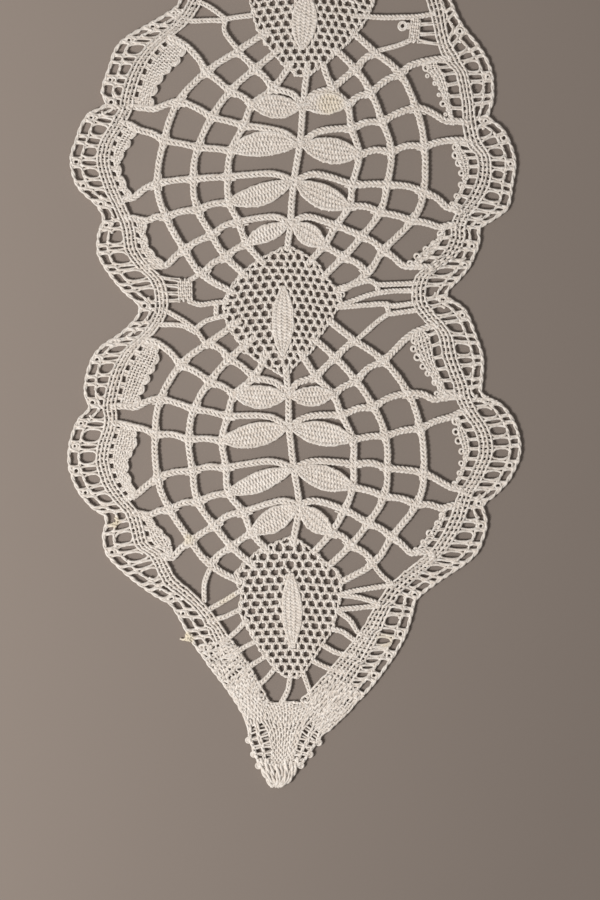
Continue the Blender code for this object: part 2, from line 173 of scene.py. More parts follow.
# %% The panels' outlines
Reach = namedtuple("Reach", "up left right")
TOP_PANEL = (
    Reach(79.2, -8.8, 16.8),
    Reach(73.9, -7.5, 14.7),
    Reach(70.7, -6.5, 12.5),
    Reach(67.9, -4.3, 9.7),
    Reach(65.5, -2.5, 7.1),
    Reach(63.9, -0.9, 5.0),
    Reach(62.3, 1.3, 2.9),
)
MIDDLE_PANEL = (
    Reach(27.9, -1.5, -0.3),
    Reach(25.1, -6.9, 4.4),
    Reach(22.6, -10.0, 6.2),
    Reach(20.3, -11.9, 7.8),
    Reach(17.9, -13.2, 9.7),
    Reach(15.3, -13.6, 8.5),
    Reach(12.1, -12.6, 6.5),
    Reach(9.6, -10.9, 4.8),
    Reach(7.3, -9.1, 3.5),
    Reach(5.1, -6.3, 0.9),
    Reach(2.5, -1.9, -1.1),
)
LONG_PANEL = (
    Reach(-30.1, -0.5, 0.3),
    Reach(-32.6, -6.4, 3.8),
    Reach(-34.6, -8.6, 6.0),
    Reach(-37.7, -11.4, 9.3),
    Reach(-41.0, -10.0, 9.6),
    Reach(-44.6, -10.4, 8.8),
    Reach(-48.6, -8.4, 7.6),
    Reach(-51.2, -7.0, 5.8),
    Reach(-54.2, -5.0, 4.0),
    Reach(-56.9, -2.4, 2.0),
    Reach(-57.9, -0.8, 0.6),
)
print("panels of", len(TOP_PANEL), len(MIDDLE_PANEL), "and", len(LONG_PANEL), "rows")

# %% [markdown]
# ## How the strip lies
#
# Old lace never lies dead straight: it has been washed, pinned and tugged. These tables bend the chart by
# small amounts. Each row of the first gives the middle plait's place across, how far each side is
# stretched, and how much each rim leans out and down. The pulls of the left side and of the right one are
# local tugs, and each fades to nothing around it.

# %% The tables of the lie
Lie = namedtuple("Lie", "down spine left right left_rim right_rim left_drop right_drop")
LIES = (
    Lie(-25.0, 3.9, 0.93, 0.93, 0.0, 0.0, -4.0, -4.0),
    Lie(-17.6, 3.8, 0.95, 0.95, -0.6, -0.3, -6.0, -6.0),
    Lie(-9.2, 3.1, 1.02, 0.92, -2.2, 0.2, -1.5, -0.4),
    Lie(0.0, 2.1, 1.06, 0.91, -2.4, 1.2, -1.2, 0.6),
    Lie(7.4, 1.5, 1.07, 0.92, -2.6, 1.4, -1.2, 1.6),
    Lie(14.8, 0.3, 1.06, 0.94, -2.6, 1.6, -1.6, 2.2),
    Lie(23.2, -0.4, 1.04, 0.95, -2.2, 2.0, -0.8, 1.4),
    Lie(29.0, -1.0, 1.05, 0.92, -2.2, 2.2, -0.2, 0.4),
    Lie(38.4, -1.6, 0.99, 1.05, 0.0, 0.4, 0.0, -3.5),
    Lie(47.4, -1.6, 1.08, 0.96, -3.6, 1.2, 1.6, -1.5),
    Lie(57.7, -0.8, 1.10, 0.96, -3.6, 1.6, 1.8, -1.0),
    Lie(64.4, -0.6, 1.07, 0.95, -3.2, 2.2, 1.2, -1.4),
    Lie(72.0, 0.3, 1.06, 0.93, -2.6, 2.2, 1.0, -1.0),
    Lie(79.5, 1.3, 1.08, 0.92, -2.6, 2.0, 1.6, -1.2),
    Lie(86.0, 0.0, 1.03, 0.97, -2.0, 1.4, 2.0, -1.2),
    Lie(98.4, -0.5, 0.95, 1.02, -0.4, 0.0, 0.0, 0.0),
    Lie(108.4, -1.5, 0.86, 1.10, 0.0, 0.0, 0.0, 0.0),
    Lie(117.4, -2.4, 0.74, 1.24, 0.0, 0.0, 0.0, 0.0),
    Lie(124.0, -2.9, 0.76, 1.20, 0.0, 0.0, 0.0, 0.0),
    Lie(129.0, -3.2, 0.78, 1.24, 0.0, 0.0, 0.0, 0.0),
    Lie(137.0, -3.7, 0.80, 1.10, 0.0, 0.0, 0.0, 0.0),
)
REACH = 40.0
Pull = namedtuple("Pull", "out down reach outwards lower")
PULLS = {
    -1: (
        Pull(31.0, -18.0, 6.0, -1.0, 0.4),
        Pull(36.0, -11.0, 7.0, 1.4, -0.8),
        Pull(33.0, -16.0, 5.0, -0.7, 1.2),
        Pull(28.0, -6.0, 6.0, 1.2, -0.2),
        Pull(26.0, 1.5, 5.0, -0.2, -1.2),
        Pull(34.5, 9.0, 7.0, 1.0, -0.4),
        Pull(29.5, 23.0, 4.0, -1.0, 0.0),
        Pull(40.5, 20.0, 4.0, -0.9, -0.8),
        Pull(28.5, 35.5, 5.0, -1.1, 0.0),
        Pull(34.0, 43.0, 7.0, -1.2, 1.2),
        Pull(28.5, 43.0, 5.0, -1.0, 0.2),
        Pull(14.0, 60.0, 8.0, 0.9, 0.2),
        Pull(34.0, 65.0, 7.0, -1.4, 0.2),
        Pull(15.0, 78.0, 9.0, 1.3, 0.2),
        Pull(32.0, 81.0, 7.0, -1.0, -0.2),
        Pull(28.5, 89.0, 5.0, -1.7, -1.2),
        Pull(29.0, 95.0, 8.0, 1.0, 1.0),
        Pull(20.0, 98.0, 7.0, 0.7, 0.8),
        Pull(31.5, -9.4, 5.5, 1.2, -1.0),
        Pull(33.4, -4.6, 4.5, 1.1, -0.3),
        Pull(25.0, -22.6, 4.0, -1.2, 0.0),
        Pull(28.0, -14.5, 4.0, 0.5, -0.6),
        Pull(39.5, -6.0, 6.5, 0.7, -0.3),
        Pull(43.0, 4.5, 5.0, 0.8, -0.3),
        Pull(26.0, 38.2, 4.0, -1.1, 0.2),
        Pull(26.7, 85.5, 4.5, -1.4, 0.0),
        Pull(24.5, 94.5, 8.0, 1.5, 0.3),
    ),
    1: (
        Pull(26.0, -17.0, 6.0, 0.9, 0.0),
        Pull(33.0, -4.0, 6.0, 0.8, 0.0),
        Pull(38.0, 44.5, 5.0, 1.7, 0.0),
        Pull(25.0, -11.0, 6.0, -0.8, 2.2),
        Pull(34.0, -14.5, 6.0, -1.3, 1.0),
        Pull(25.5, -22.0, 5.0, 0.9, 0.0),
        Pull(30.0, 1.5, 6.0, 0.9, 1.1),
        Pull(38.0, 10.0, 7.0, 0.8, 0.0),
        Pull(46.0, 13.0, 6.0, -1.2, 0.0),
        Pull(15.0, 5.0, 7.0, -0.3, 0.9),
        Pull(14.0, 15.0, 8.0, -0.5, 1.2),
        Pull(10.0, 25.0, 6.0, -0.6, 0.8),
        Pull(31.0, 29.0, 10.0, 1.6, 0.4),
        Pull(31.0, 44.5, 9.0, 2.7, -1.2),
        Pull(42.0, 55.5, 6.0, -1.8, 0.0),
        Pull(12.0, 57.0, 7.0, -0.7, 0.3),
        Pull(14.0, 76.0, 8.0, -0.4, -1.0),
        Pull(31.0, 64.0, 6.0, 1.2, -0.4),
        Pull(38.2, 66.5, 7.0, 0.8, 0.0),
        Pull(33.5, 83.5, 7.0, 0.9, 0.0),
        Pull(37.0, 71.8, 5.0, 0.6, 0.0),
        Pull(28.8, -12.4, 5.5, 1.8, 3.2),
        Pull(35.8, 2.6, 6.0, 0.6, 2.5),
        Pull(31.8, 27.5, 6.5, 1.3, 0.0),
    ),
}
SHIFT = (-0.348, -0.050)
print(len(LIES), "rows and", sum(map(len, PULLS.values())), "tugs")

# %% [markdown]
# ## From the chart to the table
#
# `lie` is the one door between the flat chart and the lace as it lies. Spokes, rings and borders all go
# through it, so they shift together and stay joined. What follows no rule is given straight on the table
# instead, with `on_table` or `placed`.


# %% Laying a place of the chart
def row_between(one, other, t):
    """A row of numbers a share of the way from one row to another."""
    return type(one)(*(a + (b - a) * t for a, b in zip(one, other)))


def held(value, low=0.0, high=1.0):
    return min(high, max(low, value))


def eased(t):
    return t * t * (3 - 2 * t)


def lie_at(down):
    """The row of LIES at a distance down the strip, with an even change from row to row."""
    for above, below in zip(LIES, LIES[1:]):
        if down <= below.down or below is LIES[-1]:
            share = held((down - above.down) / (below.down - above.down))
            return row_between(above, below, eased(share))


def lie(side, out, down):
    """A place of the chart, as a vector (across, up) on the table in millimetres."""
    here = lie_at(down)
    if side < 0:
        stretch, rim, drop = here.left, here.left_rim, here.left_drop
    else:
        stretch, rim, drop = here.right, here.right_rim, here.right_drop
    near_edge = (out / REACH) ** 2
    moved_out = stretch * out + rim * near_edge
    lowered = down + drop * near_edge
    for pull in PULLS[side]:
        near = max(0.0, 1 - math.hypot(out - pull.out, down - pull.down) / pull.reach)
        moved_out += eased(near) * pull.outwards
        lowered += eased(near) * pull.lower
    up = HALF_LENGTH + CUT_END - max(lowered, CUT_END)
    return Vector((here.spine + side * moved_out + SHIFT[0], up + SHIFT[1]))


def laid(side, points, at=0.0):
    return [lie(side, out, down + at) for out, down in points]


def on_table(x, y):
    """A one-off place, given straight on the table."""
    return Vector((x + SHIFT[0], y + SHIFT[1]))


def placed(points):
    return [on_table(x, y) for x, y in points]


print("the first joint lies at", lie(1, 0.0, 0.0))

# %% [markdown]
# Threads bend smoothly between pins, so every line is drawn as a smooth curve through its few charted
# places, and then cut into even steps.


# %% Smooth lines and even steps
WALK = 0.5
RING_TILT = 0.12


def walked(points, steps=None):
    """Points along a smooth curve through the given ones: about every WALK, or so many steps for each."""
    ends = [points[0], *points, points[-1]]
    found = []
    for a, b, c, d in zip(ends, ends[1:], ends[2:], ends[3:]):
        count = steps or max(1, round((c - b).length / WALK))
        for step in range(count):
            t = step / count
            turn = (c - a) * t + (2 * a - 5 * b + 4 * c - d) * t * t + (3 * b - a - 3 * c + d) * t * t * t
            found.append(b + 0.5 * turn)
    found.append(points[-1].copy())
    return found


def distances(line):
    """How far along a line each of its points is."""
    return list(accumulate(((b - a).length for a, b in zip(line, line[1:])), initial=0.0))


def part_at(lengths, wanted):
    """The number of the step that holds a distance, and how far into that step it is."""
    index = 0
    while index < len(lengths) - 2 and lengths[index + 1] < wanted:
        index += 1
    return index, min(1.0, (wanted - lengths[index]) / max(lengths[index + 1] - lengths[index], 1e-9))


def at_share(line, share):
    """The place at a share of the way along a line, by length."""
    lengths = distances(line)
    index, t = part_at(lengths, held(share) * lengths[-1])
    return line[index].lerp(line[index + 1], t)


def even_shares(start, end, count):
    return [start + (end - start) * step / (count - 1) for step in range(count)]


def even(line, count):
    return [at_share(line, share) for share in even_shares(0, 1, count)]


def unit(vector):
    return vector / max(vector.length, 1e-9)


def facing(vector, way):
    """The vector, or its opposite where that one points along the way."""
    return -vector if vector.dot(way) < 0 else vector


def hump(share):
    """Nothing at both ends of a line and one in its middle."""
    return math.sin(math.pi * share)


def ring_at(place, size, steps=9):
    """A small closed loop round a place, as a line of (x, y, z)."""
    turns = [2 * math.pi * step / steps for step in range(steps + 2)]
    circle = [(math.cos(turn), math.sin(turn)) for turn in turns]
    return [(place.x + size * x, place.y + size * y, MIDDLE + RING_TILT * y) for x, y in circle]


def square_to(line, index):
    """The direction square to a line at one of its points, to the left of its way."""
    along = unit(line[min(index + 1, len(line) - 1)] - line[max(index - 1, 0)])
    return Vector((-along.y, along.x))


print("a smooth line has a point about every", WALK, "mm")

# %% [markdown]
# ## A small language for Geometry Nodes
#
# A node tree is easier to read when each node is one line. `node` adds a node, sets it, and joins or fills
# its sockets. `out_of` gives its first output. `calc` does a sum of numbers, and `move` a sum of vectors.
# `new_tree` makes an empty tree with named inputs.


# %% Helpers for building trees
def fill(made, sockets):
    """Joins a node's sockets to other sockets, or sets them to plain values."""
    for name, value in sockets.items():
        if isinstance(value, bpy.types.NodeSocket):
            made.id_data.links.new(value, made.inputs[name])
        else:
            made.inputs[name].default_value = value
    return made


def node(tree, kind, sockets=(), **settings):
    made = tree.nodes.new(kind)
    for name, value in settings.items():
        setattr(made, name, value)
    return fill(made, dict(sockets))


def out_of(tree, kind, sockets=(), **settings):
    """A new node's first output."""
    return node(tree, kind, sockets, **settings).outputs[0]


def calc(tree, operation, a, b=0.0):
    return out_of(tree, "ShaderNodeMath", {0: a, 1: b}, operation=operation)


def move(tree, operation, a, b=(0, 0, 0)):
    return out_of(tree, "ShaderNodeVectorMath", {0: a, 1: b}, operation=operation)


def scaled(tree, vector, amount):
    return out_of(tree, "ShaderNodeVectorMath", {0: vector, "Scale": amount}, operation="SCALE")


def noise(tree, place, scale, detail):
    return out_of(tree, "ShaderNodeTexNoise", {"Vector": place, "Scale": scale, "Detail": detail})


def ranged(tree, value, low, high, to_low=0.0, to_high=1.0):
    return out_of(tree, "ShaderNodeMapRange", {0: value, 1: low, 2: high, 3: to_low, 4: to_high})


def stored(tree, geometry, name, value, data_type="FLOAT", domain="POINT"):
    """The geometry with a named attribute on it."""
    sockets = {"Geometry": geometry, "Name": name, "Value": value}
    return out_of(tree, "GeometryNodeStoreNamedAttribute", sockets, data_type=data_type, domain=domain)


def new_tree(name, inputs):
    tree = bpy.data.node_groups.new(name, "GeometryNodeTree")
    tree.interface.new_socket("Geometry", in_out="INPUT", socket_type="NodeSocketGeometry")
    for label, kind, value in inputs:
        socket = tree.interface.new_socket(label, in_out="INPUT", socket_type="NodeSocket" + kind)
        if value is not None:
            socket.default_value = value
    tree.interface.new_socket("Geometry", in_out="OUTPUT", socket_type="NodeSocketGeometry")
    return tree, node(tree, "NodeGroupInput").outputs, node(tree, "NodeGroupOutput").inputs


print("helpers ready for the node trees")

# %% [markdown]
# ## Round thread
#
# Every tree ends the same way, so this ending is a group of its own. It first shifts the line a little with
# smooth noise that depends only on the place, so that crossing threads wander together as they do in cloth.
# Then it sweeps a small circle along the line. Three attributes are kept for the cotton: how far along the
# thread a point is, where it is round the thread, and a chance tone for each strand. A second noise makes
# the thread a little thinner and fatter by turns, because hand-spun thread has slubs.

# %% The thread tree
WANDER_SCALE = 150.0
SLUB_SCALE, SLUB_THIN, SLUB_FAT = 620.0, 0.86, 1.16
TONE_SEED = 3
THREAD_INPUTS = [
    ("Radius", "Float", 0.2 * MM),
    ("Sides", "Int", 5),
    ("Wander", "Float", 0.2 * MM),
    ("Material", "Material", None),
]
tree, given, result = new_tree("round_thread", THREAD_INPUTS)
place_here = out_of(tree, "GeometryNodeInputPosition")
drift_sockets = {"Vector": place_here, "Scale": WANDER_SCALE, "Detail": 3.0, "Roughness": 0.7}
drift = node(tree, "ShaderNodeTexNoise", drift_sockets).outputs["Color"]
centred = move(tree, "SUBTRACT", drift, (0.5, 0.5, 0.5))
level = move(tree, "MULTIPLY", centred, (2.0, 2.0, 0.0))
shift = scaled(tree, level, given["Wander"])
wandering = out_of(tree, "GeometryNodeSetPosition", {"Geometry": given["Geometry"], "Offset": shift})
along = node(tree, "GeometryNodeSplineParameter").outputs["Length"]
with_along = stored(tree, wandering, "along", along)
strand = out_of(tree, "GeometryNodeInputIndex")
tone = node(tree, "FunctionNodeRandomValue", {"ID": strand, "Seed": TONE_SEED}, data_type="FLOAT")
with_tone = stored(tree, with_along, "tone", tone.outputs[1], domain="CURVE")
circle_sockets = {"Resolution": given["Sides"], "Radius": given["Radius"]}
circle = out_of(tree, "GeometryNodeCurvePrimitiveCircle", circle_sockets, mode="RADIUS")
rim = move(tree, "NORMALIZE", out_of(tree, "GeometryNodeInputPosition"))
with_round = stored(tree, circle, "round", rim, "FLOAT_VECTOR")
slubs = noise(tree, place_here, SLUB_SCALE, 1.0)
fatness = ranged(tree, slubs, 0.3, 0.7, SLUB_THIN, SLUB_FAT)
sweep = {"Curve": with_tone, "Profile Curve": with_round, "Scale": fatness, "Fill Caps": True}
tube = out_of(tree, "GeometryNodeCurveToMesh", sweep)
smooth = out_of(tree, "GeometryNodeSetShadeSmooth", {"Geometry": tube})
realised = out_of(tree, "GeometryNodeRealizeInstances", {"Geometry": smooth})
dyed = out_of(tree, "GeometryNodeSetMaterial", {"Geometry": realised, "Material": given["Material"]})
tree.links.new(dyed, result["Geometry"])
thread_tree = tree


def end_in_thread(tree, lines, given, result):
    """Ends a tree by handing its lines to the thread tree."""
    thread = node(tree, "GeometryNodeGroup", node_tree=thread_tree)
    fill(thread, {"Geometry": lines, **{label: given[label] for label, _, _ in THREAD_INPUTS}})
    tree.links.new(thread.outputs["Geometry"], result["Geometry"])


print(len(thread_tree.nodes), "nodes make round thread")

# %% [markdown]
# ## Plaits and twisted pairs
#
# A plait is four threads crossed and twisted over and over. Seen from above, each thread swings from edge
# to edge while it dips under and over its neighbours: once across for every two dips. The tree draws that
# directly. It repeats each line once for each strand and moves the strands apart by a cosine across and a
# sine up and down. With two strands and one dip the same tree gives a twisted pair.

# %% The plait tree
PLAIT_INPUTS = [
    ("Strands", "Int", 4),
    ("Half Width", "Float", 0.5 * MM),
    ("Half Height", "Float", 0.2 * MM),
    ("Cycle", "Float", 3.0 * MM),
    ("Dips", "Float", 2.0),
    ("Step", "Float", 0.35 * MM),
    ("Seed", "Int", 0),
]
tree, given, result = new_tree("plaited_threads", PLAIT_INPUTS + THREAD_INPUTS)
lines = out_of(tree, "GeometryNodeMeshToCurve", {"Mesh": given["Geometry"]})
step_sockets = {"Curve": lines, "Length": given["Step"]}
stepped = out_of(tree, "GeometryNodeResampleCurve", step_sockets, mode="LENGTH")
line_index = out_of(tree, "GeometryNodeInputIndex")
start_sockets = {"ID": line_index, "Seed": given["Seed"]}
start = node(tree, "FunctionNodeRandomValue", start_sockets, data_type="FLOAT")
with_start = stored(tree, stepped, "start", start.outputs[1], domain="CURVE")
copy_sockets = {"Geometry": with_start, "Amount": given["Strands"]}
copies = node(tree, "GeometryNodeDuplicateElements", copy_sockets, domain="SPLINE")
share = calc(tree, "DIVIDE", copies.outputs["Duplicate Index"], given["Strands"])
length = node(tree, "GeometryNodeSplineParameter").outputs["Length"]
turned = calc(tree, "DIVIDE", length, given["Cycle"])
begun = out_of(tree, "GeometryNodeInputNamedAttribute", {"Name": "start"}, data_type="FLOAT")
turns = calc(tree, "ADD", calc(tree, "ADD", turned, share), begun)
angle = calc(tree, "MULTIPLY", turns, 2 * math.pi)
across = calc(tree, "MULTIPLY", calc(tree, "COSINE", angle), given["Half Width"])
dipping = calc(tree, "SINE", calc(tree, "MULTIPLY", angle, given["Dips"]))
lifted = calc(tree, "MULTIPLY", dipping, given["Half Height"])
tangent = out_of(tree, "GeometryNodeInputTangent")
side = move(tree, "NORMALIZE", move(tree, "CROSS_PRODUCT", tangent, (0, 0, 1)))
lift = out_of(tree, "ShaderNodeCombineXYZ", {"Z": lifted})
offset = move(tree, "ADD", scaled(tree, side, across), lift)
strand_sockets = {"Geometry": copies.outputs["Geometry"], "Offset": offset}
strands = out_of(tree, "GeometryNodeSetPosition", strand_sockets)
end_in_thread(tree, strands, given, result)
plait_tree = tree
print(len(plait_tree.nodes), "nodes make a plait")

# %% [markdown]
# ## Threads that are laid one by one
#
# In woven parts each thread has its own way, over one neighbour and under the next. Those ways are charted
# point by point, and this tree only rounds the corners before it makes the thread.

# %% The laid-thread tree
tree, given, result = new_tree("laid_thread", [("Smoothness", "Int", 2)] + THREAD_INPUTS)
lines = out_of(tree, "GeometryNodeMeshToCurve", {"Mesh": given["Geometry"]})
curved = out_of(tree, "GeometryNodeCurveSplineType", {"Curve": lines}, spline_type="CATMULL_ROM")
finer_sockets = {"Geometry": curved, "Resolution": given["Smoothness"]}
finer = out_of(tree, "GeometryNodeSetSplineResolution", finer_sockets)
rounded = out_of(tree, "GeometryNodeResampleCurve", {"Curve": finer}, mode="EVALUATED")
end_in_thread(tree, rounded, given, result)
laid_tree = tree
print(len(laid_tree.nodes), "nodes lay single threads")

# %% [markdown]
# ## Cotton
#
# The thread is soft two-ply cotton, ivory with age. Its colour wanders a little from strand to strand and
# from place to place. The bump follows the ply twist round each thread, with loose fibre over it, and the
# colour carries painted shade in the ply's grooves, where the bump is low. A faint sheen gives the soft
# bright rim that cotton shows against dark.

# %% The cotton material
IVORY = (0.80, 0.735, 0.675, 1.0)
IVORY_PALE = (0.92, 0.875, 0.83, 1.0)
IVORY_AGED_AND_GROOVE_SHADE = (0.71, 0.62, 0.535, 1.0)
IVORY_SHADED = (0.52, 0.45, 0.39, 1.0)
CREAM = (0.80, 0.69, 0.48, 1.0)
SLUB_DARK, SLUB_PALE = 0.45, 0.6
PLY_TWIST = 1.15 * MM
PLIES = 2
BROAD_SCALE, FIBRE_SCALE, SLUB_TONE_SCALE = 70.0, 5200.0, 1500.0
BUMP_DEPTH = 0.05 * MM


def mixed(tree, amount, one, other):
    return node(tree, "ShaderNodeMix", {0: amount, 6: one, 7: other}, data_type="RGBA").outputs[2]


def new_material(name):
    """A new material, its tree, its shader, and the place on the piece."""
    material = bpy.data.materials.new(name)
    material.use_nodes = True
    tree = material.node_tree
    return material, tree, tree.nodes["Principled BSDF"], node(tree, "ShaderNodeTexCoord").outputs["Object"]


# Places where a thread has yellowed or been mended, in millimetres on the table.
Spot = namedtuple("Spot", "across up reach strength")
AGED_SPOTS = (
    Spot(-36.0, -27.0, 1.6, 0.55),
    Spot(-21.5, -50.3, 1.8, 0.6),
    Spot(-13.2, -42.6, 2.6, 0.3),
    Spot(7.2, 56.5, 3.2, 0.35),
    Spot(-21.2, -30.4, 1.5, 0.35),
    Spot(18.2, -50.6, 2.2, 0.3),
)


def make_cotton(name, spots):
    material, tree, shader, here = new_material(name)
    strand_tone = node(tree, "ShaderNodeAttribute", attribute_name="tone").outputs["Fac"]
    along = node(tree, "ShaderNodeAttribute", attribute_name="along").outputs["Fac"]
    around = node(tree, "ShaderNodeAttribute", attribute_name="round").outputs["Vector"]
    parts = node(tree, "ShaderNodeSeparateXYZ", {0: around})
    turn = calc(tree, "ARCTAN2", parts.outputs["Y"], parts.outputs["X"])
    wound = calc(tree, "MULTIPLY", along, 2 * math.pi / PLY_TWIST)
    ply = calc(tree, "SINE", calc(tree, "ADD", calc(tree, "MULTIPLY", turn, PLIES), wound))
    broad = noise(tree, here, BROAD_SCALE, 3.0)
    fibre = noise(tree, here, FIBRE_SCALE, 4.0)
    slub = noise(tree, here, SLUB_TONE_SCALE, 2.0)
    colour = IVORY
    for value, low, high, to_low, to_high, tint in (
        (broad, 0.35, 0.75, 0.0, 0.45, IVORY_AGED_AND_GROOVE_SHADE),
        (strand_tone, 0.0, 1.0, 0.0, 0.45, IVORY_PALE),
        (fibre, 0.3, 0.7, 0.22, 0.0, IVORY_AGED_AND_GROOVE_SHADE),
        (slub, 0.32, 0.52, SLUB_DARK, 0.0, IVORY_SHADED),
        (slub, 0.5, 0.68, 0.0, SLUB_PALE, IVORY_PALE),
        # Painted shade: the ply's grooves, where its bump is low, are darkened a little.
        (ply, -1.0, 0.0, 0.2, 0.0, IVORY_AGED_AND_GROOVE_SHADE),
    ):
        colour = mixed(tree, ranged(tree, value, low, high, to_low, to_high), colour, tint)
    for spot in spots:
        centre = (spot.across * MM, spot.up * MM, MIDDLE * MM)
        away = node(tree, "ShaderNodeVectorMath", {0: here, 1: centre}, operation="DISTANCE").outputs["Value"]
        mask = ranged(tree, away, spot.reach * MM, 0.5 * spot.reach * MM, 0.0, spot.strength)
        colour = mixed(tree, mask, colour, CREAM)
    rough = ranged(tree, fibre, 0.3, 0.7, 0.68, 0.86)
    loose = calc(tree, "ADD", calc(tree, "MULTIPLY", fibre, 1.4), calc(tree, "MULTIPLY", slub, 1.6))
    height = calc(tree, "ADD", calc(tree, "MULTIPLY", ply, 0.5), loose)
    bump = out_of(tree, "ShaderNodeBump", {"Height": height, "Strength": 0.7, "Distance": BUMP_DEPTH})
    fill(shader, {"Base Color": colour, "Roughness": rough, "Normal": bump})
    fill(shader, {"Sheen Weight": 0.2, "Sheen Roughness": 0.5, "Specular IOR Level": 0.3})
    return material


cotton = make_cotton("ivory_cotton", AGED_SPOTS)
print("cotton:", len(cotton.node_tree.nodes), "nodes")

# %% [markdown]
# ## From lines to pieces
#
# `spun` takes a list of lines, runs one of the trees over them and returns a plain mesh object. A stitch
# often needs two kinds of thread, so `make_piece` joins several such meshes.


# %% Making and joining meshes
def added(name, data, location=(0, 0, 0)):
    made = bpy.data.objects.new(name, data)
    made.location = location
    bpy.context.scene.collection.objects.link(made)
    return made


def guide(name, lines):
    """A mesh of bare edges along the lines. A point is (x, y) at the lace's middle height, or (x, y, z)."""
    points, edges = [], []
    for line in lines:
        begin = len(points)
        for x, y, *height in line:
            points.append((x * MM, y * MM, (height[0] if height else MIDDLE) * MM))
        edges += [(index, index + 1) for index in range(begin, len(points) - 1)]
    mesh = bpy.data.meshes.new(name)
    mesh.from_pydata(points, edges, [])
    return added(name, mesh)


def spun(name, lines, tree, **values):
    """The lines as threads: a plain mesh made by the tree, with the named values set on its inputs."""
    made = guide(name, lines)
    modifier = made.modifiers.new("threads", "NODES")
    modifier.node_group = tree
    values.setdefault("Material", cotton)
    for item in tree.interface.items_tree:
        label = item.name.replace(" ", "_")
        if item.in_out == "INPUT" and label in values:
            modifier[item.identifier] = values[label]
    graph = bpy.context.evaluated_depsgraph_get()
    shape = made.evaluated_get(graph)
    made_mesh = bpy.data.meshes.new_from_object(shape, preserve_all_data_layers=True, depsgraph=graph)
    made.modifiers.remove(modifier)
    made.data = made_mesh
    return made


def laid_kind(radius, smoothness):
    """The values of single laid thread: its radius in millimetres, and how finely its corners are rounded."""
    return {"tree": laid_tree, "Radius": radius * MM, "Smoothness": smoothness}


def plait_kind(half_width, half_height, radius, cycle, step, strands=2):
    """The values of a plait in millimetres: four strands dip twice a cycle, and a twisted pair once."""
    names = ("Half_Width", "Half_Height", "Radius", "Cycle", "Step")
    sizes = (half_width, half_height, radius, cycle, step)
    in_metres = {name: size * MM for name, size in zip(names, sizes)}
    return {"tree": plait_tree, "Strands": strands, "Dips": strands / 2, **in_metres}


def triangles(piece):
    return sum(len(face.vertices) - 2 for face in piece.data.polygons)


def make_piece(name, *parts):
    """Joins meshes into one of the lace's pieces."""
    piece = parts[0]
    with bpy.context.temp_override(active_object=piece, selected_editable_objects=parts):
        bpy.ops.object.join()
    piece.name = piece.data.name = name
    pieces.append(piece)
    print(name, "has", triangles(piece), "triangles")


pieces = []

# %% [markdown]
# ## The plaits
#
# The middle plait, the rings and the spokes are all four-thread plaits. Where two meet, the real threads
# cross in a small square knot. Here the two plaits simply run through each other, which reads the same at
# this size.

# %% Spine and rings
PLAIT = plait_kind(0.49, 0.12, radius=0.285, cycle=3.5, step=0.38, strands=4)
SLIM_PLAIT = plait_kind(0.36, 0.12, radius=0.245, cycle=3.0, step=0.36, strands=4)
SPINE = (
    ((0.0, -8.7), (0.0, 0.0), (0.0, 7.4), (0.0, 14.8), (0.0, 23.2), (0.0, 28.6)),
    ((0.0, 51.8), (0.0, 57.7), (0.0, 64.0), (0.0, 72.1), (0.0, 79.5), (0.0, 87.6)),
)


def ring_places(side, medallion, ring):
    """Where a ring runs: its start, its crossings with the spokes, and its end."""
    path = [RING_STARTS[ring], *(getattr(spoke, ring) for spoke in SPOKES), RING_ENDS[ring]]
    return laid(side, path, medallion.at)


ring_lines = [walked(laid(1, stretch)) for stretch in SPINE]
ring_lines += [walked(ring_places(*half, ring)) for half in HALVES for ring in RINGS]
make_piece("middle_plait_and_rings", spun("rings", ring_lines, Seed=1, **PLAIT))

# %% [markdown]
# A plain spoke leaves the middle plait steeply and then levels out. The odd plaits at the waists and
# between the last panel and the border follow no rule, so they are listed one by one, as places on the
# table.

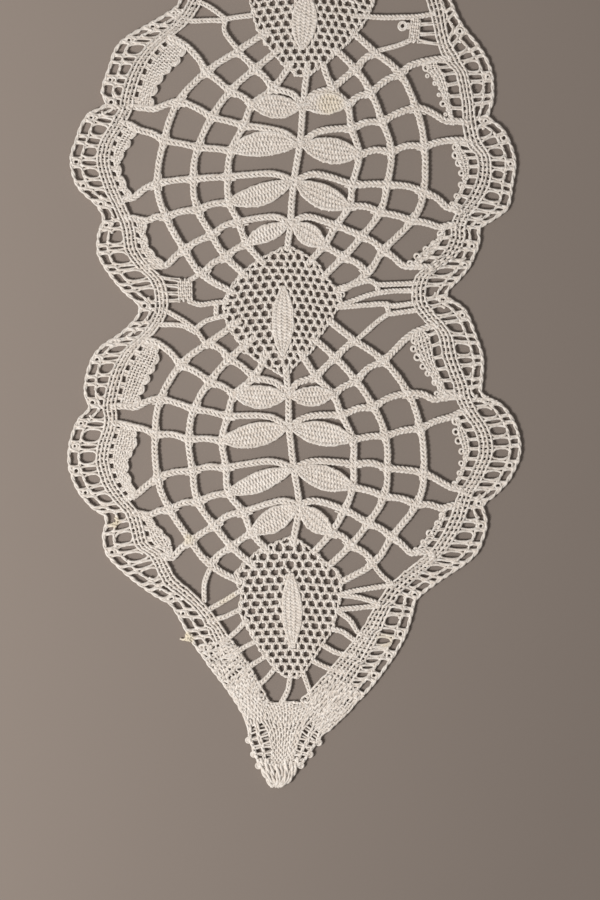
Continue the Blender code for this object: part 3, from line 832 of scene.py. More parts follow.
# %% The single plaits
LINKS = (
    ((-8.1, 74.3), (-11.3, 73.9), (-13.5, 73.5)),
    ((-13.5, 73.7), (-17.0, 76.2), (-19.0, 77.0)),
    ((-13.5, 73.3), (-16.5, 73.3), (-19.5, 73.2), (-21.3, 73.4)),
    ((-13.3, 73.5), (-13.5, 71.1), (-10.9, 67.5)),
    ((12.0, 74.3), (18.5, 73.9), (24.7, 74.1), (28.5, 74.7)),
    ((23.9, 69.5), (21.1, 68.3), (17.1, 67.3)),
    ((-18.1, 22.9), (-20.7, 21.3)),
    ((-20.9, 17.3), (-18.5, 16.5), (-15.3, 16.9), (-12.7, 17.1)),
    ((-15.1, 16.9), (-15.3, 13.9)),
    ((-12.9, 14.4), (-17.1, 13.3), (-19.3, 11.7)),
    ((-19.3, 11.5), (-22.1, 13.5), (-25.3, 15.3), (-26.3, 15.7)),
    ((-19.3, 10.9), (-22.1, 12.3), (-25.7, 12.5), (-26.9, 12.5)),
    ((-19.3, 11.5), (-16.7, 7.9)),
    ((9.0, 19.7), (15.3, 21.3), (17.3, 20.5), (25.4, 20.9)),
    ((17.1, 20.5), (17.1, 18.7)),
    ((9.0, 16.1), (17.1, 18.9), (25.0, 19.3)),
    ((9.0, 15.9), (18.1, 16.7), (19.9, 16.3), (24.8, 16.9)),
    ((18.7, 16.7), (19.5, 14.7)),
    ((19.5, 14.7), (25.0, 15.5)),
    ((19.5, 14.9), (16.5, 12.7), (12.9, 9.5)),
    ((-9.9, -40.3), (-13.3, -42.5), (-16.3, -44.2), (-17.4, -44.8)),
    ((-10.3, -44.3), (-13.7, -45.9), (-17.1, -46.6)),
    ((-8.9, -46.3), (-11.3, -48.9), (-13.9, -51.1)),
    ((-7.1, -50.7), (-10.1, -52.3), (-12.3, -54.5)),
    ((-4.9, -53.5), (-8.1, -55.5), (-10.5, -57.1)),
    ((-3.5, -56.1), (-5.5, -58.5), (-8.3, -60.3)),
    ((-0.3, -56.7), (-0.9, -60.5), (-2.5, -63.5)),
    ((2.0, -56.7), (3.3, -60.1), (4.5, -63.1)),
    ((3.7, -54.5), (6.7, -55.9), (10.7, -56.9)),
    ((5.7, -51.3), (9.1, -53.1), (12.7, -53.5)),
    ((7.7, -48.3), (10.1, -48.9), (13.3, -51.3)),
    ((8.7, -44.5), (11.5, -46.5), (13.1, -48.9), (15.3, -49.9)),
    ((8.7, -44.5), (12.9, -44.1), (17.1, -43.7)),
    ((9.5, -41.5), (13.5, -42.1), (17.5, -43.3)),
    ((9.3, -41.5), (13.5, -40.5), (19.9, -39.5)),
    ((-16.4, -36.1), (-17.6, -39.5), (-17.5, -43.0)),
    ((16.0, -35.1), (17.8, -37.5), (20.3, -39.6)),
)
print(len(LINKS), "single plaits")

# %% [markdown]
# No plait is pulled quite straight, so each stretch of a spoke is bowed a little. Where plaits meet, short
# threads round off the sharp corners between them.


# %% Bowed plaits and rounded corners
def spoke_path(medallion, spoke, leafed):
    """A spoke's plaited places on the chart, from the middle plait or the leaf's end outwards."""
    path = [spoke.inner, spoke.middle, spoke.outer]
    if not leafed:
        start = (0.0, medallion.joints[spoke.joint])
        out, down = (a + (b - a) * SPOKE_LIFT_AT for a, b in zip(start, spoke.inner))
        path = [start, (out, down - SPOKE_LIFT)] + path
    return path + [end for end in (spoke.rim, spoke.trail) if end]


BOW_UP = 0.3
BOW_CHANCE = 0.3


def bowed(points, up):
    """The places with a displaced one between each two, because no plait is pulled quite straight."""
    found = [points[0]]
    for a, b in zip(points, points[1:]):
        slack = min(1.0, (b - a).length / 6.0)
        across = facing(unit(Vector((a.y - b.y, b.x - a.x))), UP)
        found += [(a + b) / 2 + across * slack * (up + BOW_CHANCE * chance.uniform(-1, 1)), b]
    return found


PLAIT_HALF = 0.66
CORNER_REACH = 0.95
CORNER_FILL = 0.1
CORNER_INSET = 0.2
NARROWEST, WIDEST = math.radians(28), math.radians(150)


def corners(place, neighbours):
    """Short threads that round the inner corners where plaits meet."""
    ways = sorted((unit(other - place) for other in neighbours), key=lambda way: math.atan2(way.y, way.x))
    found = []
    for one, other in zip(ways, ways[1:] + ways[:1]):
        angle = math.acos(held(one.dot(other), -1.0))
        if not NARROWEST < angle < WIDEST or one.x * other.y - one.y * other.x < 0:
            continue
        line = []
        for way, beside in ((one, other), (other, one)):
            square = unit(beside - way * way.dot(beside))
            onward = way * (PLAIT_HALF / math.tan(angle / 2) + CORNER_REACH)
            line.append(place + onward + square * (PLAIT_HALF - CORNER_INSET))
        line.insert(1, place + unit(one + other) * (PLAIT_HALF / math.sin(angle / 2) + CORNER_FILL))
        found.append([(*point, MIDDLE) for point in line])
    return found


print("a plait is", 2 * PLAIT_HALF, "mm wide at its corners")

# %% [markdown]
# Now the spokes of both sides can be drawn, with the corners where each ring crosses them. A spoke that
# begins with a leaf starts its plait at the leaf's end.

# %% Spokes, links and corners
corner_threads, spoke_lines = [], []
for side, medallion in HALVES:
    for number, ring in enumerate(RINGS):
        places = ring_places(side, medallion, ring)
        for index, spoke in enumerate(SPOKES):
            joint = (0.0, medallion.joints[spoke.joint])
            way_in = (joint, spoke.inner, spoke.middle)[number]
            way_out = (spoke.middle, spoke.outer, spoke.rim)[number]
            spoke_ways = laid(side, [way for way in (way_in, way_out) if way], medallion.at)
            corner_threads += corners(places[index + 1], [places[index], places[index + 2], *spoke_ways])
    for index, spoke in enumerate(SPOKES):
        path = laid(side, spoke_path(medallion, spoke, index % 2), medallion.at)
        straight = 0 if index % 2 else 2
        spoke_lines.append(walked(path[:straight] + bowed(path[straight:], BOW_UP)))
print(len(corner_threads), "rounded corners")
make_piece(
    "spokes_and_links",
    spun("spokes", spoke_lines, Seed=2, **PLAIT),
    spun("links", [walked(placed(path)) for path in LINKS], Seed=5, **SLIM_PLAIT),
    spun("corners", corner_threads, **laid_kind(0.2, 3)),
)

# %% [markdown]
# ## Weaving
#
# Leaves, combs and the bound tip are all woven the same way: a few passive threads run lengthwise, and a
# weaver goes to and fro, over one and under the next. In a leaf the weaver is packed so close that the
# passives vanish and only its ribs show. `woven` charts both for any strip with a middle line and a width
# at each place.


# %% Charting a woven strip
PLACE_CHANCE = 0.045
TURNING = (0.95, 1.08)


def nudged(place, amount=PLACE_CHANCE):
    """A place moved a little by chance, because hands are not machines."""
    return place + Vector((chance.gauss(0, 1), chance.gauss(0, 1))) * amount


def woven(line, width_at, passives, pitch, height, spread=0.92):
    """The passives and the weaver of a strip along a line; width_at(share) is its width in millimetres."""
    count = max(2, round(distances(line)[-1] / pitch))
    rows = even(line, count + 1)
    weaver, warps = [], [[] for _ in range(passives)]
    for index, point in enumerate(rows):
        share = index / count
        square = square_to(rows, index)
        half = width_at(share) / 2
        row = []
        for warp in range(passives):
            place = point + square * (half * spread * (1 - (2 * warp + 1) / passives))
            over = height if (warp + index) % 2 else -height
            row.append((*place, MIDDLE + over))
            warps[warp].append((*place, MIDDLE - 0.5 * over))
        rightwards = index % 2 == 0
        turning = point + square * (half * chance.uniform(*TURNING) * (-1 if rightwards else 1))
        weaver += row if rightwards else row[::-1]
        weaver.append((*turning, MIDDLE))
    return warps, weaver


print("woven strips can be charted")

# %% [markdown]
# ## The leaves
#
# A leaf is the showpiece of this kind of lace: the weaver is drawn in at the ends and let out in the
# middle, and no two come out alike. From the top of each half down, the table gives each leaf's width and
# how far its belly leans up from the line between its ends. The panels' upright leaves are listed by their
# two ends on the table.

# %% The leaves' sizes and weave
Leaf = namedtuple("Leaf", "width lean")
LEAVES = {
    ("upper", "left"): (Leaf(4.3, -0.2), Leaf(4.6, 0.8), Leaf(4.0, -0.5), Leaf(3.1, 0.2)),
    ("upper", "right"): (Leaf(4.0, 0.5), Leaf(4.8, -0.2), Leaf(4.5, -0.4), Leaf(3.9, 0.2)),
    ("lower", "left"): (Leaf(4.3, -0.4), Leaf(4.5, -0.2), Leaf(3.7, -0.1), Leaf(4.4, 0.0)),
    ("lower", "right"): (Leaf(3.6, -0.2), Leaf(4.4, 0.0), Leaf(4.4, 0.0), Leaf(3.9, -0.3)),
}
UPRIGHT_LEAVES = (
    ((2.9, 79.2), (1.9, 67.7), 4.7),
    ((-1.8, 20.6), (-1.9, 6.4), 4.0),
    ((-0.3, -36.6), (0.1, -51.9), 3.7),
)
LEAF_FULLNESS = 0.7
LEAF_NECK = 0.65
LEAF_PITCH = 0.33
LEAF_HEIGHT = 0.2
LEAF_BAND = 0.95
LEAF_SPREAD = 1.1
LEAF_GAP = 0.6
LEAF_UNEVEN = 0.05
LEAF_PLACES = 25
LEAF_RIM_LIFT = 0.12


def leaf_lines(start, end, width, lean):
    """One leaf between two places: its passives and its weaver."""
    way = unit(end - start)
    up = facing(Vector((-way.y, way.x)), UP)

    def width_at(share):
        return max(LEAF_NECK, width * hump(share) ** LEAF_FULLNESS)

    shares = even_shares(0, 1, LEAF_PLACES)
    line = [(start + way * LEAF_GAP).lerp(end, share) + up * (lean * hump(share)) for share in shares]
    passives = max(3, round(width / LEAF_BAND))
    warps, weaver = woven(line, width_at, passives, LEAF_PITCH, LEAF_HEIGHT, LEAF_SPREAD)
    rims = [[], []]
    for index, point in enumerate(line):
        half = square_to(line, index) * (width_at(shares[index]) / 2)
        for rim, way_out in zip(rims, (half, -half)):
            rim.append((*nudged(point + way_out, LEAF_UNEVEN), MIDDLE + LEAF_RIM_LIFT))
    return warps + [weaver] + rims


leaf_threads = []
for (name, side_name), leaves in LEAVES.items():
    medallion = next(found for found in MEDALLIONS if found.name == name)
    for spoke, leaf in zip(SPOKES[1::2], leaves):
        ends = laid(SIDES[side_name], [(0.0, medallion.joints[spoke.joint]), spoke.inner], medallion.at)
        leaf_threads += leaf_lines(*ends, leaf.width, leaf.lean)
for start, end, width in UPRIGHT_LEAVES:
    leaf_threads += leaf_lines(*placed((start, end)), width, 0.0)
make_piece("woven_leaves", spun("leaves", leaf_threads, **laid_kind(0.28, 2)))

# %% [markdown]
# ## The honeycomb
#
# In the panels, twisted pairs travel slantwise both ways. Wherever two pairs meet they cross in a short
# upright bar, and between the bars round holes are left, each row staggered from the last. The bars are
# charted first, with a little chance in each place. Then every pair is followed from bar to bar until it
# reaches the rim.

# %% The sizes of the honeycomb
Panel = namedtuple("Panel", "rows centre left_pitch right_pitch row_pitch taper arch leaf")
PANELS = (
    Panel(TOP_PANEL, 3.2, 1.75, 1.60, 1.42, 0.0, 0.010, 0),
    Panel(MIDDLE_PANEL, -1.9, 1.80, 1.58, 1.40, 0.0, 0.010, 1),
    Panel(LONG_PANEL, -0.5, 2.15, 1.98, 1.62, 0.013, 0.006, 2),
)
BAR_SHARE = 0.9
MOST_COLUMNS = 28
FIRST_BAR_DOWN = 0.6
HALVINGS = 7
LEAF_CLEAR = 0.4
BAR_CROSSING = 0.12
BAR_JITTER = 0.08
RIM_SWELLING = 0.25
RIM_PERIOD = 1.7
RIM_CHANCE = 0.06
print(sum(len(panel.rows) for panel in PANELS), "rows of outline in", len(PANELS), "panels")

# %% [markdown]
# The rim follows the panel's outline and swells a little beside each hole. A pair stops where it meets the
# rim, and also where it goes under the panel's leaf.


# %% A panel's rim
def inside(point, outline):
    """Whether a place lies inside a closed outline."""
    odd = False
    for a, b in zip(outline, outline[1:] + outline[:1]):
        if (a.y > point.y) != (b.y > point.y):
            if point.x < a.x + (b.x - a.x) * (point.y - a.y) / (b.y - a.y):
                odd = not odd
    return odd


def panel_outline(panel):
    """The rim as a closed line, with a small swelling beside each of the outermost holes."""
    left = walked(placed([(row.left, row.up) for row in panel.rows]))
    right = walked(placed([(row.right, row.up) for row in panel.rows]))
    plain = left + right[::-1]
    centre = sum(plain, Vector((0.0, 0.0))) / len(plain)
    found = []
    travelled = 0.0
    for index, point in enumerate(plain):
        square = facing(square_to(plain, index), point - centre)
        travelled += (point - plain[index - 1]).length if index else 0.0
        swelling = RIM_SWELLING * abs(math.sin(math.pi * travelled / RIM_PERIOD))
        found.append(point + square * (swelling + RIM_CHANCE * chance.uniform(-1, 1)))
    return found


def in_leaf(point, start, end, width):
    """Whether a place is under an upright leaf."""
    share = (point - start).dot(end - start) / (end - start).length_squared
    if not 0 < share < 1:
        return False
    middle = start.lerp(end, share)
    return (point - middle).length < LEAF_CLEAR * width * hump(share) ** LEAF_FULLNESS


print("the rim swells by", RIM_SWELLING, "mm")

# %% [markdown]
# Bars stand in columns and rows like the squares of one colour on a chessboard. A pair moves half a column
# aside with every row, so it meets a bar in each row until it comes to the rim.


# %% The pairs of a panel
def panel_lines(panel):
    """The pairs of a panel, each as a line from rim to rim, and the rim itself."""
    outline = panel_outline(panel)
    start, end, width = UPRIGHT_LEAVES[panel.leaf]
    start, end = placed((start, end))
    top = max(point.y for point in outline)
    bottom = min(point.y for point in outline)
    centre = on_table(panel.centre, 0.0)
    bars = {}

    def bar(column, row):
        """The middle of the bar in a column, counted in halves, and a row."""
        if (column, row) not in bars:
            closer = 1 - panel.taper * row
            x = column / 2 * (panel.left_pitch if column < 0 else panel.right_pitch) * closer
            rows_down = row * panel.row_pitch * (1 - panel.taper * row / 3)
            y = top - FIRST_BAR_DOWN - rows_down - panel.arch * x * x
            bars[column, row] = nudged(Vector((centre.x + x, y)), BAR_JITTER)
        return bars[column, row]

    def free(point):
        return inside(point, outline) and not in_leaf(point, start, end, width)

    def cut(kept, lost):
        """Where the way from a kept place to a lost one meets the rim or the leaf."""
        for _ in range(HALVINGS):
            middle = (kept + lost) / 2
            if free(middle):
                kept = middle
            else:
                lost = middle
        return kept

    rows = int((top - bottom) / panel.row_pitch) + 4
    lines = []
    for slant in (1, -1):
        for first in range(-MOST_COLUMNS - rows, MOST_COLUMNS + rows):
            line = []
            before = None
            for row in range(-1, rows):
                column = first + slant * row
                if (column + row) % 2 or abs(column) > MOST_COLUMNS:
                    before = None
                    continue
                here = bar(column, row)
                if free(here):
                    if not line and before is not None:
                        line.append(cut(here, before))
                    aside = Vector((slant * BAR_CROSSING, 0.0))
                    half = Vector((0.0, BAR_SHARE * panel.row_pitch / 2))
                    line.append(here - aside + half)
                    line.append(here + aside - half)
                elif line:
                    line.append(cut(before, here))
                    lines.append(line)
                    line = []
                before = here
            if len(line) > 1:
                lines.append(line)
    return lines, outline + outline[:2]


print("at most", MOST_COLUMNS, "half columns to each side")

# %% [markdown]
# The three panels are spun together. A few picots stand at the rims, where a pin once held a loop.

# %% The three panels
GROUND = plait_kind(0.16, 0.12, radius=0.235, cycle=1.5, step=0.27)
RIM = plait_kind(0.15, 0.14, radius=0.19, cycle=1.9, step=0.28)
PANEL_PICOTS = ((-6.5, 25.4), (9.9, 18.5), (-9.5, 7.3))
PICOT_RING = 0.5
ground_lines, rim_lines = [], []
for panel in PANELS:
    lines, outline = panel_lines(panel)
    ground_lines += lines
    rim_lines.append(outline)
    print("a panel of", len(lines), "pairs")
panel_picots = [ring_at(place, PICOT_RING) for place in placed(PANEL_PICOTS)]
make_piece(
    "honeycomb_panels",
    spun("panel_picots", panel_picots, **laid_kind(0.2, 2)),
    spun("ground", ground_lines, Seed=3, **GROUND),
    spun("rims", rim_lines, Seed=4, **RIM),
)

# %% [markdown]
# ## The border
#
# Each border is worked in four bands. From the inside out they are the fans, the cloth-stitch trail, a row
# of round holes, and a row of alternate long and tiny holes under the edge line. Worker pairs weave across
# all of them. So the border is charted as a row of crossings, one for each pass of the workers. The table
# gives the sizes in which the left border and the right one differ.

# %% The two borders
BORDER_SIZES = (
    ("name", "left", "right"),
    ("side", -1, 1),
    ("trail_half", 1.15, 1.28),
    ("second_line", 0.585, 0.63),
    ("second_shift", 0.07, 0.08),
    ("dense_below", -52.0, -65.0),
    ("wide_below", -44.0, -41.0),
    ("fan_hole", 1.15, 2.1),
    ("fan_spacing", 0.62, 0.8),
    ("pair_gaps", (0.25, 0.18, 0.21), (0.21, 0.16, 0.21)),
    ("front_depth", 0.5, 1.2),
    ("front_start", 0.15, 0.75),
    ("drawn_close", 0.55, 0.27),
    ("rung_half", 0.16, 0.18),
    ("narrow_half", 0.74, 0.8),
    ("turning_pitch", 2.4, 2.15),
)
SIZE_NAMES, *SIDE_SIZES = zip(*BORDER_SIZES)
Border = namedtuple("Border", SIZE_NAMES)
BORDERS = [Border(*sizes) for sizes in SIDE_SIZES]
WIDEST_HOLES = {("upper", "right", 0): 2.75, ("lower", "right", 2): 1.4}
print(len(BORDER_SIZES), "rows tell the two borders apart")

# %% [markdown]
# A crossing knows where its worker starts at the fan's front, where it meets the middle of the trail, and
# where the edge is. It also knows which way is across and which way is onward there, half the trail's
# width, how wide the row of holes behind the fan is, and whether it lies in a fan or in the close last
# stretch.

# %% The crossings of a border
PASS_PITCH = 1.15
RUNG_PASSES = 4
PASS_MIDDLE = 0.45
STATION_STEPS = 14
EDGE_INSET = 0.42
NARROWED = 0.42
WIDENING = 0.07
WIDENED_OUTWARDS = 0.8
SHALLOWEST_FAN = 0.5
Crossing = namedtuple("Crossing", "front trail edge across onward half hole fan dense")


def border_stations():
    found = [TOP, *SCALLOPS, *WAIST]
    for row in SCALLOPS + POINT:
        found.append(Station(*((out, down + MEDALLIONS[-1].at) for out, down in row)))
    return found


def nearest(line, place):
    return min(range(len(line)), key=lambda index: (line[index] - place).length)


def fan_fronts(border, trails):
    """For each crossing inside a fan, the place at the fan's front and the width of its row of holes."""
    fronts, holes = {}, {}
    for medallion in MEDALLIONS:
        shift = FAN_SHIFTS[medallion.name, border.name]
        for number, fan in enumerate(FANS):
            moved = [(out + shift, down) for out, down in fan.front[1:-1]]
            front = walked(laid(border.side, [fan.front[0], *moved, fan.front[-1]], medallion.at))
            back = laid(border.side, fan.back, medallion.at)
            begin, end = nearest(trails, back[0]), nearest(trails, back[-1])
            more = WIDEST_HOLES.get((medallion.name, border.name, number), border.fan_hole) - border.fan_hole
            for step in range(begin, end + 1):
                share = (step - begin) / (end - begin)
                fronts[step] = at_share(front, share)
                middling = abs(math.sin(math.pi * (step - begin) / (end - begin)))
                holes[step] = border.fan_hole + more * middling**0.5
    return fronts, holes


def border_crossings(border):
    trail, edge = (walked(laid(border.side, line), STATION_STEPS) for line in zip(*border_stations()))
    lengths = distances([a.lerp(b, PASS_MIDDLE) for a, b in zip(trail, edge)])
    count = round(lengths[-1] / PASS_PITCH)
    parts = [part_at(lengths, lengths[-1] * step / count) for step in range(count + 1)]
    trails, edges = ([line[index].lerp(line[index + 1], t) for index, t in parts] for line in (trail, edge))
    fronts, holes = fan_fronts(border, trails)
    found = []
    for step, (place, outer) in enumerate(zip(trails, edges)):
        across = unit(outer - place)
        outer = outer - across * EDGE_INSET
        onward = unit(trails[min(step + 1, count)] - trails[max(step - 1, 0)])
        wider = WIDENING * max(0.0, border.wide_below - place.y)
        hole = holes.get(step, 0.0)
        half = border.trail_half + wider - NARROWED * max(0.0, hole - border.fan_hole)
        place = place + across * (WIDENED_OUTWARDS * wider)
        front = fronts.get(step)
        fan = bool(front) and (place - front).length > half + SHALLOWEST_FAN
        if not fan:
            front = place - across * half
        dense = place.y < border.dense_below
        found.append(Crossing(front, place, outer, across, onward, half, hole, fan, dense))
    dense_from = sum(not here.dense for here in found) // RUNG_PASSES * RUNG_PASSES
    return [here._replace(dense=step >= dense_from) for step, here in enumerate(found)]


print("the first pass starts at", border_crossings(BORDERS[0])[0].front)

# %% [markdown]
# The threads of a border follow from its crossings. The passives run along it, over and under the workers.
# Each worker is a pair, so every pass lays two threads side by side. Two passes go together: they turn in
# one bump or picot at the fan's front, and draw close where they cross the row of holes behind its cloth.

# %% The places that a pass goes through
TRAIL_PASSIVES = 4
TRAIL_SPACING = 0.8
DENSE_SPACING = 0.95
FRONT_MOST = 0.3
FAN_CLOTH_SHARE = 0.42
HOLE_SHARES = (0.16, 0.86)


def fan_ends(crossing, border):
    """How deep the fan is at a crossing, and the shares of it where its cloth starts and ends."""
    back = crossing.trail - crossing.across * crossing.half
    depth = max((back - crossing.front).length, 1e-9)
    start = min(border.front_depth, FRONT_MOST * depth) / depth
    return back, depth, start, max(FAN_CLOTH_SHARE, 1 - crossing.hole / depth)


def fan_places(crossing, border, count):
    """Where the fan's passives cross a pass, from the front inwards, and two places in the row of holes."""
    if not crossing.fan:
        return []
    back, _, start, end = fan_ends(crossing, border)
    shares = even_shares(start, end, count) + [end + (1 - end) * share for share in HOLE_SHARES]
    return [crossing.front.lerp(back, share) for share in shares]


def fan_passives(crossings, border):
    """How many passives the fan that starts here needs at its deepest."""
    fan = takewhile(lambda crossing: crossing.fan, crossings)
    deepest = max((end - start) * depth for _, depth, start, end in (fan_ends(each, border) for each in fan))
    return max(2, round(deepest / border.fan_spacing) + 1)


def trail_places(crossing):
    count = max(TRAIL_PASSIVES, round(2 * crossing.half / TRAIL_SPACING) + 1)
    offsets = even_shares(-crossing.half, crossing.half, count)
    return [crossing.trail + crossing.across * offset for offset in offsets]


def dense_places(crossing, outer):
    count = max(2, round((crossing.edge - outer).length / DENSE_SPACING))
    return [outer.lerp(crossing.edge, (warp + 1) / (count + 1)) for warp in range(count)]


def drawn(place, partner, close):
    """A place moved towards the middle between two passes that go together."""
    return (place + partner) / 2 + (place - partner) / 2 * close


print("a border's cloth has", TRAIL_PASSIVES, "passives in the trail, or more where it widens")

# %% [markdown]
# A pass is then woven group by group: first through the fan's cloth, then through the trail, and in the
# close last stretch right out to the edge. Where two passes lie far apart at a fan's front, a third thread
# fills in.

# %% The weaving of a border
CLOTH_HEIGHT = 0.17
TRAIL_LIFT = 0.09
OPEN_GAP = 1.15
OPEN_ASIDE = 1.6
DRAWN_TURN = 0.5
DENSE_CHANCE = 0.18
OVER_TRAIL = 0.05


def border_rows(crossings, border):
    """The woven threads of a border: the workers' passes, the passives, and the close last stretch."""
    rows, dense_rows, passives, fan_lines = [], [], [], []
    trail_lines, dense_lines = ([[] for _ in range(4 * TRAIL_PASSIVES)] for _ in range(2))
    fan_count = 2
    last = len(crossings) - 1
    for step, here in enumerate(crossings):
        other = crossings[min(step ^ 1, last)]
        if here.fan and not crossings[max(step - 1, 0)].fan:
            fan_count = fan_passives(crossings[step:], border)
            fan_lines = [[] for _ in range(fan_count)]
            passives += fan_lines
        shown = fan_places(here, border, fan_count)
        partner = fan_places(other, border, fan_count) or shown
        outer = here.trail + here.across * here.half
        groups = [(shown[:fan_count], fan_lines), (trail_places(here), trail_lines)]
        if here.dense:
            groups.append((dense_places(here, outer), dense_lines))
        gap = (crossings[min(step + 1, last)].front - here.front).length
        threads = 3 if here.fan and gap > OPEN_GAP else 2
        unevenness = DENSE_CHANCE if here.dense else PLACE_CHANCE
        for thread in range(threads):
            asides = [here.onward * ((2 * thread / (threads - 1) - 1) * gap) for gap in border.pair_gaps]
            edge_aside = asides[1] * 0.5
            if here.fan:
                asides[0] = asides[0] * (OPEN_ASIDE if threads > 2 else 1)
                start = here.front.lerp(shown[0], border.front_start)
                end = other.front.lerp(partner[0], border.front_start)
                row = [(*drawn(start + asides[0], end - asides[0], DRAWN_TURN), MIDDLE)]
            else:
                row = [(*(here.front + edge_aside), MIDDLE)]
            number = thread
            for group, (places, lines) in enumerate(groups):
                lift = TRAIL_LIFT if group and not here.dense else 0.0
                for place, line in zip(places, lines):
                    over = CLOTH_HEIGHT if number % 2 else -CLOTH_HEIGHT
                    row.append((*nudged(place + asides[group], unevenness), MIDDLE - lift + 0.8 * over))
                    line.append((*nudged(place + asides[group], unevenness), MIDDLE + lift - 0.7 * over))
                    number += 1
                if here.fan and group == 0:
                    height = MIDDLE + 0.05 * (-1) ** thread
                    for place, beside in zip(shown[fan_count:], partner[fan_count:]):
                        place = drawn(place + asides[0], beside - asides[0], border.drawn_close)
                        row.append((*place, height))
            end = here.edge if here.dense else outer + here.across * OVER_TRAIL
            row.append((*(end + edge_aside), MIDDLE))
            (dense_rows if here.dense else rows).append(row)
    used = [[line for line in lines if len(line) > 1] for lines in (trail_lines, dense_lines)]
    return rows, passives + used[0], dense_rows + used[1]


print("over and under, a worker rises", CLOTH_HEIGHT, "mm")

# %% [markdown]
# Outside the trail the pairs go on as rungs. Where a pair of threads meets a line it opens like a fork
# before it joins, and that is what rounds the corners of the holes. Two short rungs close together, and
# then none for a while, leave the tiny and the long holes by turns. Lower down, where the trail widens, the
# rungs stand slantwise.

# %% The rungs of a border
RUNG_MIDDLE = 1.5
RUNG_CHANCE = 0.12
RUNG_WAVE = 0.12
RUNG_RANGE = (0.75, 1.25)
RUNG_SHAPE = ((0.0, 1.0), (0.1, 0.45), (0.26, 0.08), (0.5, 0.0), (0.74, 0.08), (0.9, 0.45), (1.0, 1.0))
SMALL_FLARE, WIDE_FLARE = 0.5, 0.95
FLARE_ROOM = 1.6
THIN_RUNG = 0.16
SHORT_HALF = 0.66
SECOND_MOST = 0.72
NARROW = 5.0
SLANT = 0.45
SLANTED_TURNS = (-1.35, -0.1, 1.25)
SLANTED_CHANCE = 0.2
WIDENED = 0.5
TINY_HOLE = 0.56
TINY_HOLE_SHARE = 0.65
TINY_CHANCE = 0.1
TINY_RANGE = (0.8, 1.1)


def between(places, at):
    """The place at a fractional number along a list."""
    index = min(int(at), len(places) - 2)
    return places[index].lerp(places[index + 1], at - index)


def rung(start, end, start_way, end_way, half_width, flares=(SMALL_FLARE, SMALL_FLARE)):
    """Two threads side by side from line to line, spread apart at both ends."""
    found = []
    room = min(1.0, (end - start).length / FLARE_ROOM)
    for side, flare in zip((1, -1), flares):
        flare = max(half_width, flare * room)
        middle = half_width * chance.uniform(*RUNG_RANGE)
        line = []
        for share, opened in RUNG_SHAPE:
            way = start_way.lerp(end_way, share) * (side * (middle + (flare - middle) * opened))
            height = MIDDLE + RUNG_WAVE * side * math.sin(2 * math.pi * share)
            line.append((*(start.lerp(end, share) + way), height))
        found.append(line)
    return found


def rung_turns(here, border):
    """Where the rungs of one group stand, counted in passes from its middle, with the flares of each."""
    if here.half > border.trail_half + WIDENED:
        turns = [turn + chance.gauss(0, SLANTED_CHANCE) for turn in SLANTED_TURNS]
        return [(turn, SLANT, (SMALL_FLARE, WIDE_FLARE)) for turn in turns]
    narrow = border.narrow_half
    return [(-narrow, 0.0, (SMALL_FLARE, WIDE_FLARE)), (narrow, 0.0, (WIDE_FLARE, SMALL_FLARE))]


def border_rungs(crossings, border):
    """The pairs that cross the two outer rows of holes, and the line between the rows."""
    inner = [here.trail + here.across * (here.half - 0.1) for here in crossings]
    edge = [here.edge for here in crossings]
    second = []
    for here in crossings:
        share = border.second_line + border.second_shift * ((here.edge - here.trail).length - NARROW)
        second.append(here.trail.lerp(here.edge, min(share, SECOND_MOST)))
    found = []
    open_until = sum(not here.dense for here in crossings)
    for step in range(0, open_until, RUNG_PASSES):
        here = crossings[step + 1]
        way = here.onward
        centre = step + RUNG_MIDDLE
        for turn, slant, flares in rung_turns(here, border):
            at = max(0.0, centre + turn + chance.gauss(0, RUNG_CHANCE))
            start, end = between(inner, at + slant), between(second, max(0.0, at - slant))
            found += rung(start, end, way, way, border.rung_half, flares)
        for turn in (-SHORT_HALF, SHORT_HALF):
            low, high = between(second, centre + turn), nudged(between(edge, centre + turn))
            found += rung(low, high, way * 0.8, way * 0.9, THIN_RUNG)
        if chance.random() < TINY_HOLE_SHARE:
            middle = between(second, centre).lerp(between(edge, centre), 0.5)
            found.append(ring_at(nudged(middle, TINY_CHANCE), TINY_HOLE * chance.uniform(*TINY_RANGE)))
    return found, second[: open_until + 2]


print("a group of rungs stands on every", RUNG_PASSES, "passes")

# %% [markdown]
# At a fan's front the workers turn back. On the left border they turn in solid bumps, each drawn as three
# loops one inside the next. On the right one they turn in ring picots, some of them sunk into the cloth.

# %% The fronts of the fans
BUMP_SIZES = (1.0, 0.6, 0.55)
BUMP = 0.8
BUMP_WIDTH = 2.4
BUMP_ROOM = 0.42
BUMP_LOOPS = ((1.0, 0.42), (0.6, 0.3), (0.2, 0.14))
BUMP_TURNS = 6
PICOT_SIZE = 0.47
PICOT_RANGE = (0.85, 1.2)
PICOT_FIRST, PICOT_FALL = 1.3, 0.5
PICOT_OUT = 0.25
PICOT_CHANCE = 0.12
BUMP_RANGE = (0.8, 1.15)
NEARBY = 0.05
SUNK = 0.55
SUNK_ROW = 4


def bump_loops(front, onward, into, size):
    for reach, width in BUMP_LOOPS:
        line = []
        for turn in range(BUMP_TURNS + 1):
            angle = math.pi * (turn / BUMP_TURNS - 0.5)
            aside = onward * (math.sin(angle) * width * BUMP_WIDTH)
            out = BUMP_ROOM - size * BUMP * reach * math.cos(angle)
            line.append((*nudged(front + into * out + aside), MIDDLE))
        yield line


